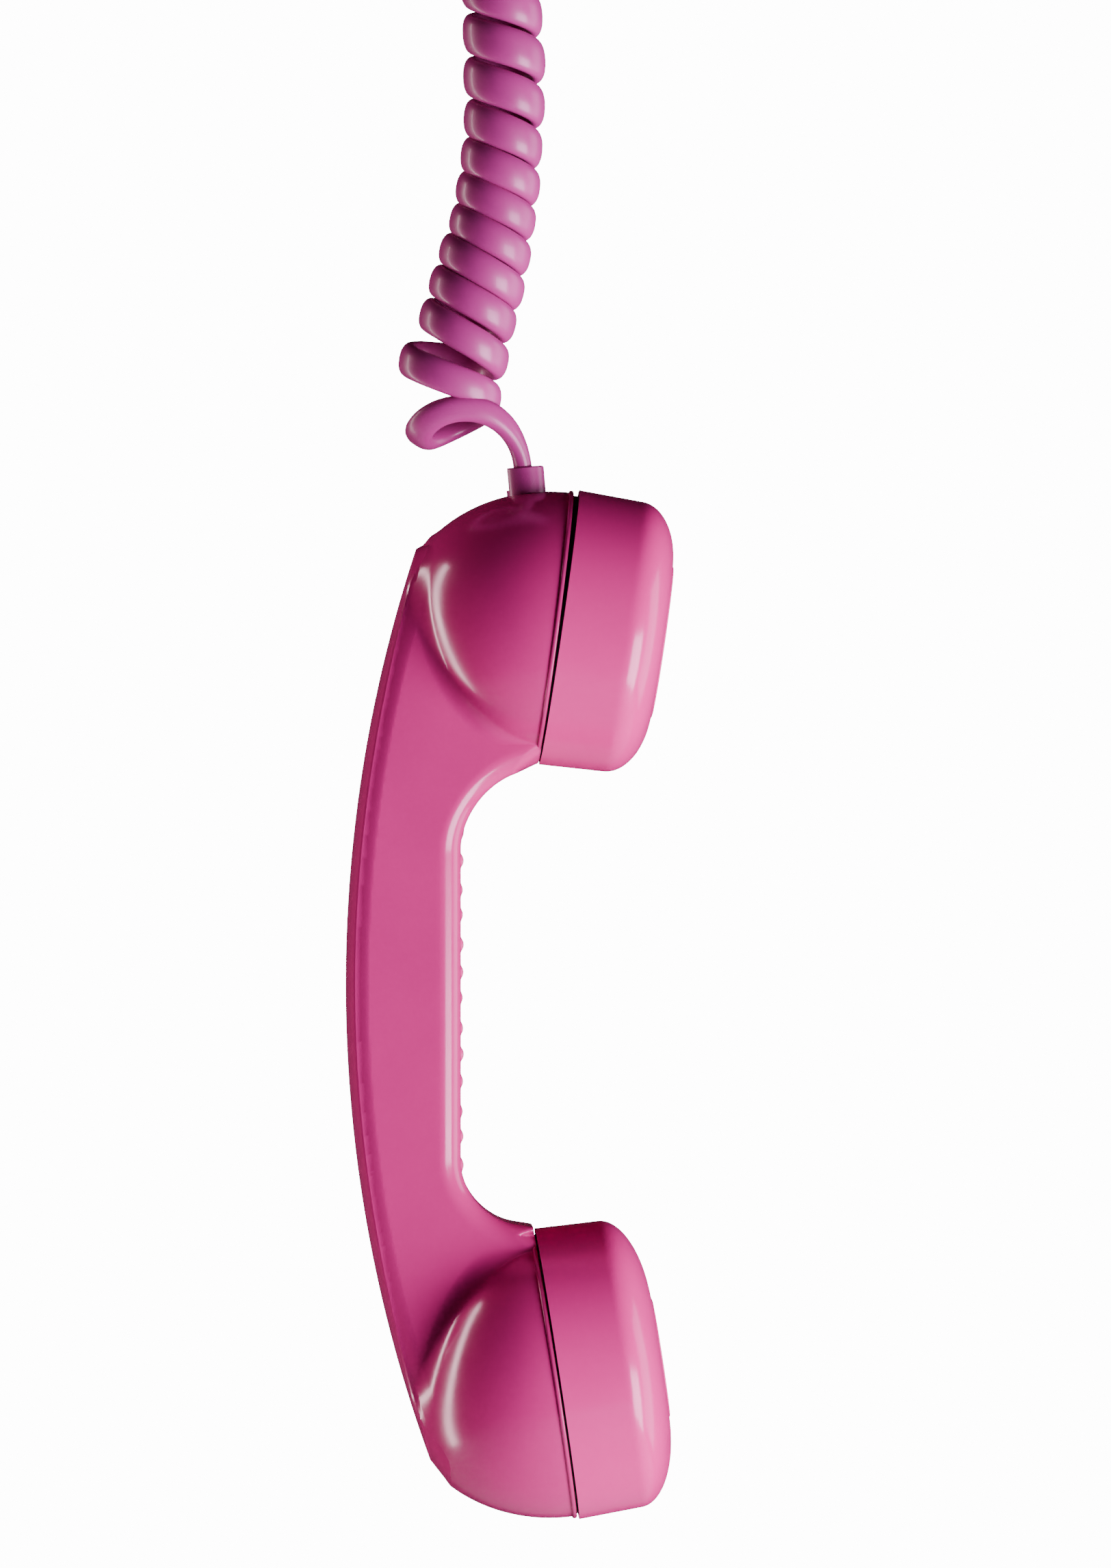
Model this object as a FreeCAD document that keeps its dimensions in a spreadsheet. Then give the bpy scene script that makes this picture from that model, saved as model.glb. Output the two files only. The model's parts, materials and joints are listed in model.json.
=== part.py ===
"""Telephone handset of the one-piece, screw-cap kind, hanging from its own curly cord.

World frame: millimetres, +Z up, origin on the flat nose of the modular plug that ends the cord.
The two screwed caps face +X, and the handset is symmetric about the XZ plane.
Most pieces are drawn in one of three frames of their own:
  handset  upright, its origin in the middle of the grip
  mouth    on the mouthpiece cap's axis, +Z outward, its origin in the plane of the cap's rim
  ear      the same for the earpiece cap
"""
import FreeCAD, Part
import math
import os
import re

import Sketcher
from FreeCAD import Placement, Rotation, Vector

SIZES = {
    # where the plug's nose is above the middle of the grip, and the cord's place in front of it
    "hang_depth": 256.0, "hang_reach": 4.6,
    # grip: a bar with a long curved, crowned back and a straight front
    "grip_width": 28.0, "grip_front": -4.1, "back_radius": 300.0, "back_reach": -28.95,
    "back_centre_height": 4.0, "back_top": 97.9, "back_bottom": -100.6, "crown_radius": 50.0,
    "front_edge_round": 5.0,
    "web_round_top": 14.0, "web_round_bottom": 11.0, "web_top": 35.0, "web_bottom": -37.0,
    "nose_round_top": 107.0, "nose_round_bottom": 162.0,
    "tunnel_width": 16.0, "tunnel_front": -7.6, "tunnel_back_radius": 296.0, "tunnel_half": 75.0,
    # finger ribs across the front of the grip
    "rib_radius": 1.94, "rib_rise": 0.65, "rib_pitch": 5.98, "rib_first": -35.0,
    # cups: half ellipsoids behind each cap, with a shallow lip and a threaded neck
    "cup_wall": 2.8, "neck_root_depth": 3.0, "neck_height": 9.0, "neck_wall": 2.0, "lip_height": 1.3,
    "mouth_back_trim": 0.0, "ear_back_trim": 2.6, "flare": 9.0,
    "boss_radius": 3.2, "boss_spread": 14.0, "pilot_radius": 1.05,
    "mouth_x": 17.4, "mouth_z": 81.4, "mouth_tilt": 8.3, "mouth_slant": 0.85, "mouth_seam": 0.75,
    "mouth_rim": 30.1, "mouth_cup_radius": 29.3, "mouth_cup_depth": 34.6, "mouth_neck": 25.4,
    "ear_x": 16.9, "ear_z": -80.6, "ear_tilt": 8.7, "ear_slant": 0.0, "ear_seam": 0.45,
    "ear_rim": 31.9, "ear_cup_radius": 31.1, "ear_cup_depth": 34.8, "ear_neck": 26.8,
    # screw thread of both caps
    "thread_pitch": 3.0, "thread_rise": 1.0, "thread_base": 1.2, "thread_crest": 0.7,
    "thread_turns": 1.75, "thread_start": 1.6, "thread_room": 1.8, "cap_thread_rise": 1.3,
    # caps
    "cap_wall": 2.6, "cap_taper": 0.5, "ridge_pitch": 1.8, "ridge_width": 1.1, "ridge_round": 0.66,
    "mouth_cap_height": 22.4, "mouth_corner_reach": 13.2, "mouth_corner_drop": 8.6,
    "ear_cap_height": 22.6, "ear_corner_reach": 18.3, "ear_corner_drop": 8.9,
    "hole_radius": 1.0, "hole_ring": 4.5,
    # capsules: a flange that the cap clamps on the neck, through a rubber gasket
    "flange_gap": 0.1, "flange_height": 1.4, "flange_step": 0.5, "gasket_height": 0.8,
    "gasket_width": 1.8, "clamp_gap": 0.15, "clamp_inset": 0.9, "can_wall": 0.8, "can_clearance": 2.4,
    "mouth_can_depth": 4.5, "ear_can_depth": 9.0, "back_opening": 5.0,
    "grille_thickness": 0.5, "grille_recess": 0.7, "grille_hole": 1.2, "grille_ring": 4.6,
    "grille_clearance": 0.3,
    # cord, its collar in the top of the mouthpiece cup, and its anchor inside
    "cord_thickness": 5.4, "coil_thickness": 17.6, "collar_radius": 4.25, "collar_rise": 6.0,
    "collar_sink": 4.4, "collar_flange": 5.6, "collar_flange_height": 1.6, "collar_flat": 3.7,
    "collar_x": 10.3, "collar_z": 110.2, "collar_lean": -4.9, "hole_clearance": 0.05,
    "anchor_height": 3.0, "anchor_wall": 0.8,
    # receiver's terminal plate, and the leads
    "terminal_back": -10.5, "terminal_spread": 7.0, "lead_thickness": 1.3,
    # contact holder behind the transmitter
    "holder_radius": 23.4, "holder_back": -15.2, "holder_front": -12.8, "holder_cut": 14.0,
    # modular plug
    "plug_width": 9.65, "plug_height": 6.6, "plug_length": 12.3, "plug_entry_width": 6.4,
    "plug_entry_height": 5.6, "plug_entry_depth": 6.3, "contact_pitch": 1.02, "contact_slot": 0.55,
    "contact_blade": 0.45, "contact_length": 5.0, "contact_depth": 3.0,
    "latch_width": 3.25, "latch_thickness": 1.0, "latch_length": 14.0, "latch_lean": 12.0,
    "latch_pivot_y": 3.95, "latch_pivot_z": -1.1, "latch_root_radius": 0.5,
}

doc = FreeCAD.newDocument("handset")
sheet = doc.addObject("Spreadsheet::Sheet", "Sizes")
for row, (alias, value) in enumerate(SIZES.items(), start=1):
    sheet.set(f"A{row}", alias)
    sheet.set(f"B{row}", str(value))
    sheet.setAlias(f"B{row}", alias)
doc.recompute()

pieces = []


def on_sheet(text):
    """The expression with every size's name pointed at the sheet."""
    return re.sub(r"[a-z][a-z_]*", lambda name: "Sizes." + name.group(), str(text))


def mm(text):
    return float(sheet.evalExpression(on_sheet(text)))


def bind(thing, **properties):
    """Binds properties to expressions of sizes."""
    for name, text in properties.items():
        thing.setExpression(name, on_sheet(text))


def finished(thing, label, place):
    """Makes a design object one of the handset's own pieces, at its place."""
    thing.Label = label
    thing.Placement = place
    pieces.append(thing)
    return thing


# ---- frames ----

HANDSET = Placement(Vector(-mm("hang_reach"), 0, -mm("hang_depth")), Rotation())
MOUTH_IN_HANDSET = Placement(Vector(mm("mouth_x"), 0, mm("mouth_z")),
                             Rotation(Vector(0, 1, 0), 90 + mm("mouth_tilt")))
EAR_IN_HANDSET = Placement(Vector(mm("ear_x"), 0, mm("ear_z")),
                           Rotation(Vector(0, 1, 0), 90 - mm("ear_tilt")))
MOUTH = HANDSET * MOUTH_IN_HANDSET
EAR = HANDSET * EAR_IN_HANDSET
ENDS = {"mouth": MOUTH_IN_HANDSET, "ear": EAR_IN_HANDSET}
WORLD = Placement()


# ---- sketches and bodies ----

def origin_plane(body, role):
    return next(face for face in body.Origin.OriginFeatures if face.Role == role)


def new_sketch(body, role, name):
    sketch = body.newObject("Sketcher::SketchObject", name)
    sketch.AttachmentSupport = (origin_plane(body, role), [""])
    sketch.MapMode = "FlatFace"
    return sketch


def arc_between(here, there, radius, turn):
    """A circle's arc from one point to the other, turning counter-clockwise or clockwise."""
    chord = there - here
    half = chord.Length / 2
    side = Vector(-chord.y, chord.x, 0).normalize() * math.sqrt(max(radius ** 2 - half ** 2, 0))
    centre = here + chord / 2 + (side if turn == "ccw" else -side)
    circle = Part.Circle(centre, Vector(0, 0, 1), radius)
    first, last = circle.parameter(here), circle.parameter(there)
    if turn == "cw":
        first, last = last, first
    return Part.ArcOfCircle(circle, first, last if last > first else last + 2 * math.pi)


def quarter_ellipse(here, there, turn):
    """The rounded corner between an upright and a level side."""
    centre = Vector(there.x, here.y, 0) if turn == "ccw" else Vector(here.x, there.y, 0)
    across, up = abs(here.x - there.x), abs(here.y - there.y)
    return Part.ArcOfEllipse(Part.Ellipse(centre, across, up), 0, math.pi / 2)


def draw_outline(sketch, outline):
    """A closed outline. Each step is its corner's two sizes, then how the side after it runs:
    a straight line, an arc ("ccw" or "cw", radius), or a quarter of an ellipse ("corner", turn)."""
    corners = [Vector(mm(step[0]), mm(step[1]), 0) for step in outline]
    constraints, bindings, sides = [], {}, []
    for here, there, step in zip(corners, corners[1:] + corners[:1], outline):
        kind = step[2] if len(step) > 2 else "line"
        turn = step[3] if kind == "corner" else kind
        if kind == "line":
            curve = Part.LineSegment(here, there)
        elif kind == "corner":
            curve = quarter_ellipse(here, there, turn)
        else:
            curve = arc_between(here, there, mm(step[3]), turn)
        edge = sketch.addGeometry(curve)
        if kind in ("ccw", "cw"):
            bindings[len(constraints)] = step[3]
            constraints.append(Sketcher.Constraint("Radius", edge, mm(step[3])))
        sides.append((edge, 2, 1) if turn == "cw" else (edge, 1, 2))
    for (edge, _, end), (after, start, _) in zip(sides, sides[1:] + sides[:1]):
        constraints.append(Sketcher.Constraint("Coincident", edge, end, after, start))
    for (edge, start, _), corner, step in zip(sides, corners, outline):
        for kind, axis, number, text in (("DistanceX", -2, corner.x, step[0]),
                                         ("DistanceY", -1, corner.y, step[1])):
            if abs(number) < 1e-9:
                constraints.append(Sketcher.Constraint("PointOnObject", edge, start, axis))
            else:
                bindings[len(constraints)] = text
                constraints.append(Sketcher.Constraint(kind, -1, 1, edge, start, number))
    sketch.addConstraint(constraints)
    for index, text in bindings.items():
        sketch.setExpression(f"Constraints[{index}]", on_sheet(text))


def turned(name, outline):
    """A body turned about its own Z axis from an outline of (radius, height)."""
    body = doc.addObject("PartDesign::Body", name)
    sketch = new_sketch(body, "XZ_Plane", name + "_outline")
    draw_outline(sketch, outline)
    turning = body.newObject("PartDesign::Revolution", name + "_turning")
    turning.Profile = sketch
    turning.ReferenceAxis = (sketch, ["V_Axis"])
    turning.Angle = 360
    return body


def ring(inner, outer, low, high):
    """The outline of a flat ring, or of a disc when the inner radius is 0."""
    return [(inner, low), (outer, low), (outer, high), (inner, high)]


def extruded(name, role, outline, length):
    """A body padded evenly to both sides of one of its origin planes."""
    body = doc.addObject("PartDesign::Body", name)
    sketch = new_sketch(body, role, name + "_outline")
    draw_outline(sketch, outline)
    pad = body.newObject("PartDesign::Pad", name + "_pad")
    pad.Profile = sketch
    pad.SideType = "Symmetric"
    bind(pad, Length=length)
    return body


def bolt_circle(ring_radius, count):
    """Centres of holes evenly spaced on a circle."""
    return [(ring_radius * math.cos(2 * math.pi * k / count), ring_radius * math.sin(2 * math.pi * k / count))
            for k in range(count)]


def drilled(body, name, centres, radius, depth):
    """Round holes through a body, evenly to both sides of its XY plane."""
    doc.recompute()
    before = body.Shape.Volume
    sketch = new_sketch(body, "XY_Plane", name + "_centres")
    for x, y in centres:
        edge = sketch.addGeometry(Part.Circle(Vector(x, y, 0), Vector(0, 0, 1), mm(radius)))
        index = sketch.addConstraint(Sketcher.Constraint("Radius", edge, mm(radius)))
        sketch.setExpression(f"Constraints[{index}]", on_sheet(radius))
    pocket = body.newObject("PartDesign::Pocket", name)
    pocket.Profile = sketch
    pocket.SideType = "Symmetric"
    bind(pocket, Length=depth)
    doc.recompute()
    assert body.Shape.Volume < before, name + " cut nothing"
    return body


# ---- primitives and booleans ----

def primitive(kind, name, place, **sizes):
    thing = doc.addObject("Part::" + kind, name)
    bind(thing, **sizes)
    thing.Placement = place
    return thing


def lifted(place, height):
    return place * Placement(Vector(0, 0, height), Rotation())


def fuse(name, shapes):
    thing = doc.addObject("Part::MultiFuse", name)
    thing.Refine = False
    thing.Shapes = shapes
    return thing


def common(name, shapes):
    thing = doc.addObject("Part::MultiCommon", name)
    thing.Shapes = shapes
    return thing


def cut(name, base, tool):
    thing = doc.addObject("Part::Cut", name)
    thing.Base = base
    thing.Tool = tool
    return thing


def feature(name, shape):
    thing = doc.addObject("Part::Feature", name)
    thing.Shape = shape
    return thing


# ---- thread, tubes ----

def thread_ridge(radius, rise, start):
    """A right-hand helical ridge that stands out of a neck, or into a cap where its rise is negative."""
    pitch, turns = mm("thread_pitch"), mm("thread_turns")
    base, crest = mm("thread_base") / 2, mm("thread_crest") / 2
    sink = math.copysign(0.3, -rise)
    corners = [Vector(radius + reach, 0, start + height) for reach, height in
               ((sink, -base), (rise, -crest), (rise, crest), (sink, base), (sink, -base))]
    helix = Part.makeHelix(pitch, pitch * turns, radius)
    helix.translate(Vector(0, 0, start))
    return Part.Wire(helix.Edges).makePipeShell([Part.makePolygon(corners)], True, True)


def rounded_path(points):
    """Straight runs joined by tangent arcs, each as large as its two runs allow."""
    edges, radii, last = [], [], points[0]
    for before, corner, after in zip(points, points[1:], points[2:]):
        run_in, run_out = corner - before, after - corner
        turn = run_in.getAngle(run_out)
        reach = 0.45 * min(run_in.Length, run_out.Length)
        radii.append(reach / math.tan(turn / 2))
        start = corner - run_in.normalize() * reach
        end = corner + run_out.normalize() * reach
        inward = (start + end) / 2 - corner
        to_centre = radii[-1] / math.cos(turn / 2)
        middle = corner + inward.normalize() * (to_centre - radii[-1])
        edges.append(Part.LineSegment(last, start).toShape())
        edges.append(Part.Arc(start, middle, end).toShape())
        last = end
    edges.append(Part.LineSegment(last, points[-1]).toShape())
    return Part.Wire(edges), radii


def tube(name, route, thickness):
    """A round tube along a route of corner points, in the handset's frame."""
    path, radii = rounded_path([Vector(*point) for point in route])
    start = Vector(*route[0])
    along = Vector(*route[1]) - start
    circle = Part.Circle(start, along, thickness / 2).toShape()
    solid = path.makePipeShell([Part.Wire(circle)], True, True)
    section = math.pi * thickness ** 2 / 4
    print(f"{name}: {path.Length:.1f} mm long, radii {[round(radius, 1) for radius in radii]},"
          f" volume {solid.Volume / (section * path.Length):.3f} of section x length")
    return finished(feature(name, solid), name, HANDSET)


# ---- handset shell ----

def back_at(height):
    """How far forward the grip's curved back is at a height."""
    centre = mm("back_reach + back_radius")
    return centre - math.sqrt(mm("back_radius") ** 2 - (height - mm("back_centre_height")) ** 2)


def crowned_back(name):
    """A torus whose outside is the handset's long crowned back."""
    return primitive("Torus", name + "_crown", Placement(
        Vector(mm("back_reach + back_radius"), 0, mm("back_centre_height")), Rotation(Vector(1, 0, 0), 90)),
        Radius1="back_radius - crown_radius", Radius2="crown_radius")


def grip_bar():
    """The grip and the webs that join it to both cups, before the cups are added."""
    top, bottom = mm("back_top"), mm("back_bottom")
    front_and_webs = [
        (5.7, 48.7, "ccw", "web_round_top"), ("grip_front", "web_top"),
        ("grip_front", "web_bottom", "ccw", "web_round_bottom"), (5.5, -47.7), (12.2, -49.0)]
    back_and_ends = [
        (12.0, -80.0), (back_at(bottom), bottom, "cw", "back_radius"), (back_at(top), top),
        (-8.9, 102.3), (-2.2, 106.4), (12.0, 84.0), (12.6, 51.5)]
    outline = front_and_webs + back_and_ends
    bar = extruded("grip_profile", "XZ_Plane", outline, "grip_width")
    doc.recompute()
    half = mm("grip_width") / 2
    front = [f"Edge{number}" for number, edge in enumerate(bar.Shape.Edges, start=1)
             if all(abs(abs(end.Point.y) - half) < 1e-6 for end in edge.Vertexes)
             and edge.Vertexes[0].Point.y * edge.Vertexes[-1].Point.y > 0
             and all(-50 < end.Z < 52 and end.X > mm("grip_front") - 0.01 for end in edge.Vertexes)]
    pad = bar.Tip
    rounding = bar.newObject("PartDesign::Fillet", "front_edges")
    rounding.Base = (pad, front)
    bind(rounding, Radius="front_edge_round")
    doc.recompute()

    boat = extruded("boat_outline", "YZ_Plane", [
        ("grip_width / 2", 55, "ccw", "nose_round_top"), (5.0, 98.0), (3.0, 115.0), (-3.0, 115.0),
        (-5.0, 98.0, "ccw", "nose_round_top"), ("-grip_width / 2", 55),
        ("-grip_width / 2", -45, "ccw", "nose_round_bottom"), (-4.0, -101.0), (-2.5, -110.0),
        (2.5, -110.0), (4.0, -101.0, "ccw", "nose_round_bottom"), ("grip_width / 2", -45)], 120)
    bar_in_boat = common("crowned_bar", [bar, crowned_back("bar"), boat])
    rings = []
    for end, place in ENDS.items():
        outside = primitive("Cylinder", end + "_outside", lifted(place, -mm("flare + cup_wall")),
                            Radius="3 * flare + mouth_rim", Height="3 * flare")
        inside = primitive("Cone", end + "_flare", lifted(place, -mm("flare + cup_wall")),
                           Radius1=f"{end}_rim + flare + cup_wall - 1.5", Radius2=f"{end}_rim - 1.5",
                           Height="flare + cup_wall")
        rings.append(cut(end + "_outside_ring", outside, inside))
    return cut("trimmed_bar", bar_in_boat, fuse("outside_rings", rings))


RIB_COUNT = 13


def finger_ribs():
    centre_x = mm("grip_front + rib_rise - rib_radius")
    ribs = []
    for number in range(RIB_COUNT):
        height = mm("rib_first") + number * mm("rib_pitch")
        place = Placement(Vector(centre_x, mm("front_edge_round - grip_width / 2"), height),
                          Rotation(Vector(1, 0, 0), -90))
        ribs.append(primitive("Cylinder", f"rib_{number}", place, Radius="rib_radius",
                              Height="grip_width - 2 * front_edge_round"))
    return ribs


def cup_outside(end):
    """A cup's outer form and its threaded neck."""
    place = ENDS[end]
    slant = Rotation(Vector(0, 1, 0), -mm(f"{end}_slant"))
    slanted = place * Placement(Vector(0, 0, -mm(f"{end}_seam")), slant)
    dome = primitive("Ellipsoid", end + "_dome", slanted, Radius1=f"{end}_cup_depth",
                     Radius2=f"{end}_cup_radius", Radius3=f"{end}_cup_radius")
    dome.Angle2 = 0
    lip = primitive("Cylinder", end + "_lip", lifted(slanted, -mm("lip_height")),
                    Radius=f"{end}_rim - 0.2", Height="lip_height")
    neck = primitive("Cylinder", end + "_neck", lifted(place, -mm("neck_root_depth")),
                     Radius=f"{end}_neck", Height="neck_root_depth + neck_height")
    ridge = thread_ridge(mm(f"{end}_neck"), mm("thread_rise"), mm("thread_start"))
    thread = feature(end + "_neck_thread", ridge)
    thread.Placement = place
    return [common(end + "_crowned_dome", [dome, crowned_back(end)]), lip, neck, thread]


def cup_inside(end):
    """The hollow behind a cap: the cup's cavity and the bore of its neck."""
    place = ENDS[end]
    root = -mm(f"{end}_seam + neck_root_depth")
    cavity = primitive("Ellipsoid", end + "_cavity", lifted(place, root),
                       Radius1=f"{end}_cup_depth - cup_wall - neck_root_depth - {end}_back_trim",
                       Radius2=f"{end}_cup_radius - cup_wall", Radius3=f"{end}_cup_radius - cup_wall")
    cavity.Angle2 = 0
    bore = primitive("Cylinder", end + "_bore", lifted(place, root - 0.5),
                     Radius=f"{end}_neck - neck_wall", Height="neck_height + 2 * neck_root_depth")
    return [cavity, bore]


def tunnel():
    """The passage for the leads inside the grip."""
    half = mm("tunnel_half")
    radius = mm("tunnel_back_radius")
    centre = Vector(mm("back_reach + back_radius"), 0, mm("back_centre_height"))
    low_x = centre.x - math.sqrt(radius ** 2 - (-half - centre.z) ** 2)
    high_x = centre.x - math.sqrt(radius ** 2 - (half - centre.z) ** 2)
    outline = [("tunnel_front", "-tunnel_half"), ("tunnel_front", "tunnel_half"),
               (high_x, "tunnel_half", "ccw", "tunnel_back_radius"), (low_x, "-tunnel_half")]
    return extruded("tunnel", "XZ_Plane", outline, "tunnel_width")


COLLAR_IN_HANDSET = Placement(Vector(mm("collar_x"), 0, mm("collar_z")),
                              Rotation(Vector(0, 1, 0), mm("collar_lean")))


def bosses(kind, radius, low, height):
    """Two posts, or two pilot holes, behind the transmitter for the contact holder's screws."""
    return [primitive("Cylinder", f"{kind}_{number}",
                      MOUTH_IN_HANDSET * Placement(Vector(0, side * mm("boss_spread"), low), Rotation()),
                      Radius=radius, Height=height)
            for number, side in enumerate((-1, 1))]


def handset_shell():
    outer = fuse("shell_outside", [grip_bar()] + cup_outside("mouth") + cup_outside("ear") + finger_ribs())
    cord_hole = primitive("Cylinder", "cord_hole", lifted(COLLAR_IN_HANDSET, -8),
                          Radius="collar_radius + hole_clearance", Height=14)
    cavities = fuse("shell_cavities", cup_inside("mouth") + cup_inside("ear") + [tunnel(), cord_hole])
    posts = fuse("posts", bosses("post", "boss_radius", mm("holder_back") - 12.4, "12.3"))
    pilots = fuse("pilots", bosses("pilot", "pilot_radius", mm("holder_back") - 9, "9.1"))
    hollow = cut("shell_inside", cavities, cut("drilled_posts", posts, pilots))
    return finished(cut("handset_shell", outer, hollow), "handset_shell", HANDSET)


# ---- caps ----

def face_ridges(end):
    """Fine round ridges on a cap's flat face, as outline steps from its edge to its middle."""
    top = f"{end}_cap_height"
    count = int((mm(f"{end}_rim - cap_taper - {end}_corner_reach") + 1) // mm("ridge_pitch"))
    steps = []
    for number in range(count, 0, -1):
        steps.append((f"{number} * ridge_pitch + ridge_width / 2", top, "ccw", "ridge_round"))
        steps.append((f"{number} * ridge_pitch - ridge_width / 2", top))
    return steps


def cap(end, rings):
    """A screwed cap: its skirt, its face with ridges and sound holes, and the rib that clamps the capsule."""
    rib_low = "neck_height + flange_gap + flange_height + gasket_height + clamp_gap"
    rib_outer = f"{end}_neck - clamp_inset"
    inner_wall = f"{end}_neck + thread_room"
    top = f"{end}_cap_height"
    wall_top = f"{end}_cap_height - {end}_corner_drop"
    face_edge = f"{end}_rim - cap_taper - {end}_corner_reach"
    outline = [
        (f"{end}_rim", 0), (f"{end}_rim - cap_taper", wall_top, "corner", "ccw"), (face_edge, top),
        *face_ridges(end),
        (0, top), (0, f"{top} - cap_wall"), (face_edge, f"{top} - cap_wall"),
        (f"{rib_outer} - gasket_width", f"{top} - cap_wall - 1.6"), (f"{rib_outer} - gasket_width", rib_low),
        (rib_outer, rib_low), (rib_outer, f"{wall_top} + 2.2"), (inner_wall, f"{wall_top} - 0.6"),
        (inner_wall, 0)]
    body = turned(end + "_cap_body", outline)
    centres = [(0, 0)]
    for number, count in enumerate(rings, start=1):
        centres += bolt_circle(number * mm("hole_ring"), count)
    drilled(body, end + "_sound_holes", centres, "hole_radius", f"3 * {top}")
    start = mm("thread_start + thread_pitch / 2")
    ridge = thread_ridge(mm(f"{end}_neck + thread_room"), -mm("cap_thread_rise"), start)
    thread = feature(end + "_cap_thread", ridge)
    return finished(fuse(end + "piece_cap", [body, thread]), end + "piece_cap", HANDSET * ENDS[end])


# ---- capsules ----

def piece(name, outline, place):
    return finished(turned(name + "_body", outline), name, place)


def clamped_parts(end, kind):
    """What both capsules share: the can's flange, the gasket on it and the front grille."""
    place = HANDSET * ENDS[end]
    low = "(neck_height + flange_gap)"
    high = "(neck_height + flange_gap + flange_height)"
    edge = f"{end}_neck - flange_step"
    can = f"({end}_neck - can_clearance - neck_wall)"
    ring_outer = f"{end}_neck - clamp_inset"
    seat = f"{ring_outer} - gasket_width - grille_clearance"
    shelf = f"{high} - grille_recess"
    inner = "back_opening" if end == "mouth" else 0
    bottom = f"-{end}_can_depth"
    outline = [
        (inner, bottom), (can, bottom), (can, low), (edge, low), (edge, high), (seat, high), (seat, shelf),
        (f"{can} - can_wall", shelf), (f"{can} - can_wall", f"{bottom} + can_wall"),
        (inner, f"{bottom} + can_wall")]
    piece(kind + "_housing", outline, place)
    gasket = ring(f"{ring_outer} - gasket_width", ring_outer, high, f"{high} + gasket_height")
    piece(end + "_gasket", gasket, place)
    plate = ring(0, f"{seat} - 0.1", f"{shelf} + 0.05", f"{shelf} + 0.05 + grille_thickness")
    grille = turned(kind + "_grille_body", plate)
    centres = [(0, 0)]
    for number in (1, 2, 3):
        centres += bolt_circle(number * mm("grille_ring"), 6 * number)
    drilled(grille, kind + "_grille_holes", centres, "grille_hole", f"4 * {end}_can_depth + 30")
    finished(grille, kind + "_grille", place)


# Each outline is (radius, height above the plane of the cup's rim).
TRANSMITTER_PIECES = {
    "transmitter_membrane": ring(0, 20.0, 9.3, 9.5),
    "transmitter_diaphragm": [(0, 4.05), (5.5, 4.05), (17.5, 7.6), (19.9, 7.6),
                              (19.9, 7.9), (17.4, 7.9), (5.4, 4.35), (0, 4.35)],
    "diaphragm_ring": ring(18.0, 19.9, 6.2, 7.55),
    "front_electrode": [(0, 1.85), (3.2, 2.6), (3.2, 4.0), (0, 4.0)],
    "chamber_washer": ring(3.5, 8.9, 2.05, 2.5),
    "carbon_granules": [(0, -1.45), (4.95, -0.95), (7.7, 1.75), (0, 1.75)],
    "back_electrode": [(0, -5.3), (4.0, -5.3), (4.0, -2.3), (9.0, -2.3),
                       (9.0, 2.0), (8.0, 2.0), (5.0, -1.0), (0, -1.5)],
    "electrode_insulator": [(4.05, -4.5), (4.95, -4.5), (4.95, -3.65),
                            (10.0, -3.65), (10.0, -2.35), (4.05, -2.35)],
}
RECEIVER_PIECES = {
    "receiver_cloth": ring(0, 20.9, 9.2, 9.5),
    "receiver_diaphragm": [(0, 7.6), (8.0, 6.9), (15.0, 5.75), (18.0, 5.75),
                           (18.0, 6.0), (15.1, 6.0), (8.1, 7.15), (0, 7.85)],
    "receiver_armature": ring(9.0, 16.8, 5.1, 5.7),
    "armature_spacer": ring(17.0, 20.9, -7.9, 5.05),
    "receiver_magnet": ring(9.0, 16.5, -8.0, -4.6),
    "pole_piece": [(7.0, -4.5), (16.5, -4.5), (16.5, -3.5), (8.6, -3.5), (8.6, 4.8), (7.0, 4.8)],
    "receiver_coil": ring(8.8, 13.5, -3.4, 4.0),
}


def transmitter():
    """The carbon microphone capsule behind the mouthpiece cap."""
    clamped_parts("mouth", "transmitter")
    for name, outline in TRANSMITTER_PIECES.items():
        piece(name, outline, MOUTH)


def receiver():
    """The ring-armature receiver capsule behind the earpiece cap."""
    clamped_parts("ear", "receiver")
    for name, outline in RECEIVER_PIECES.items():
        piece(name, outline, EAR)
    plate = turned("terminal_plate_body", ring(0, 14.0, "terminal_back", "terminal_back + 1.4"))
    spread = mm("terminal_spread")
    drilled(plate, "terminal_holes", [(0, -spread), (0, spread)], "hole_radius + 0.3", 60)
    finished(plate, "receiver_terminal_plate", EAR)
    terminals(spread)
    bead = primitive("Cylinder", "varistor_bead", Placement(Vector(-8.0, 0, -13.6), Rotation()),
                     Radius=3.2, Height=2.2)
    leg = primitive("Cylinder", "varistor_leg", Placement(Vector(-8.0, 0, -11.6), Rotation()),
                    Radius=0.4, Height=1.05)
    finished(fuse("varistor_group", [bead, leg]), "varistor", EAR)


def disc(name, axis, low, radius, height):
    """An upright cylinder on an axis, from a height upwards."""
    return primitive("Cylinder", name, lifted(axis, low), Radius=radius, Height=height)


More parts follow.
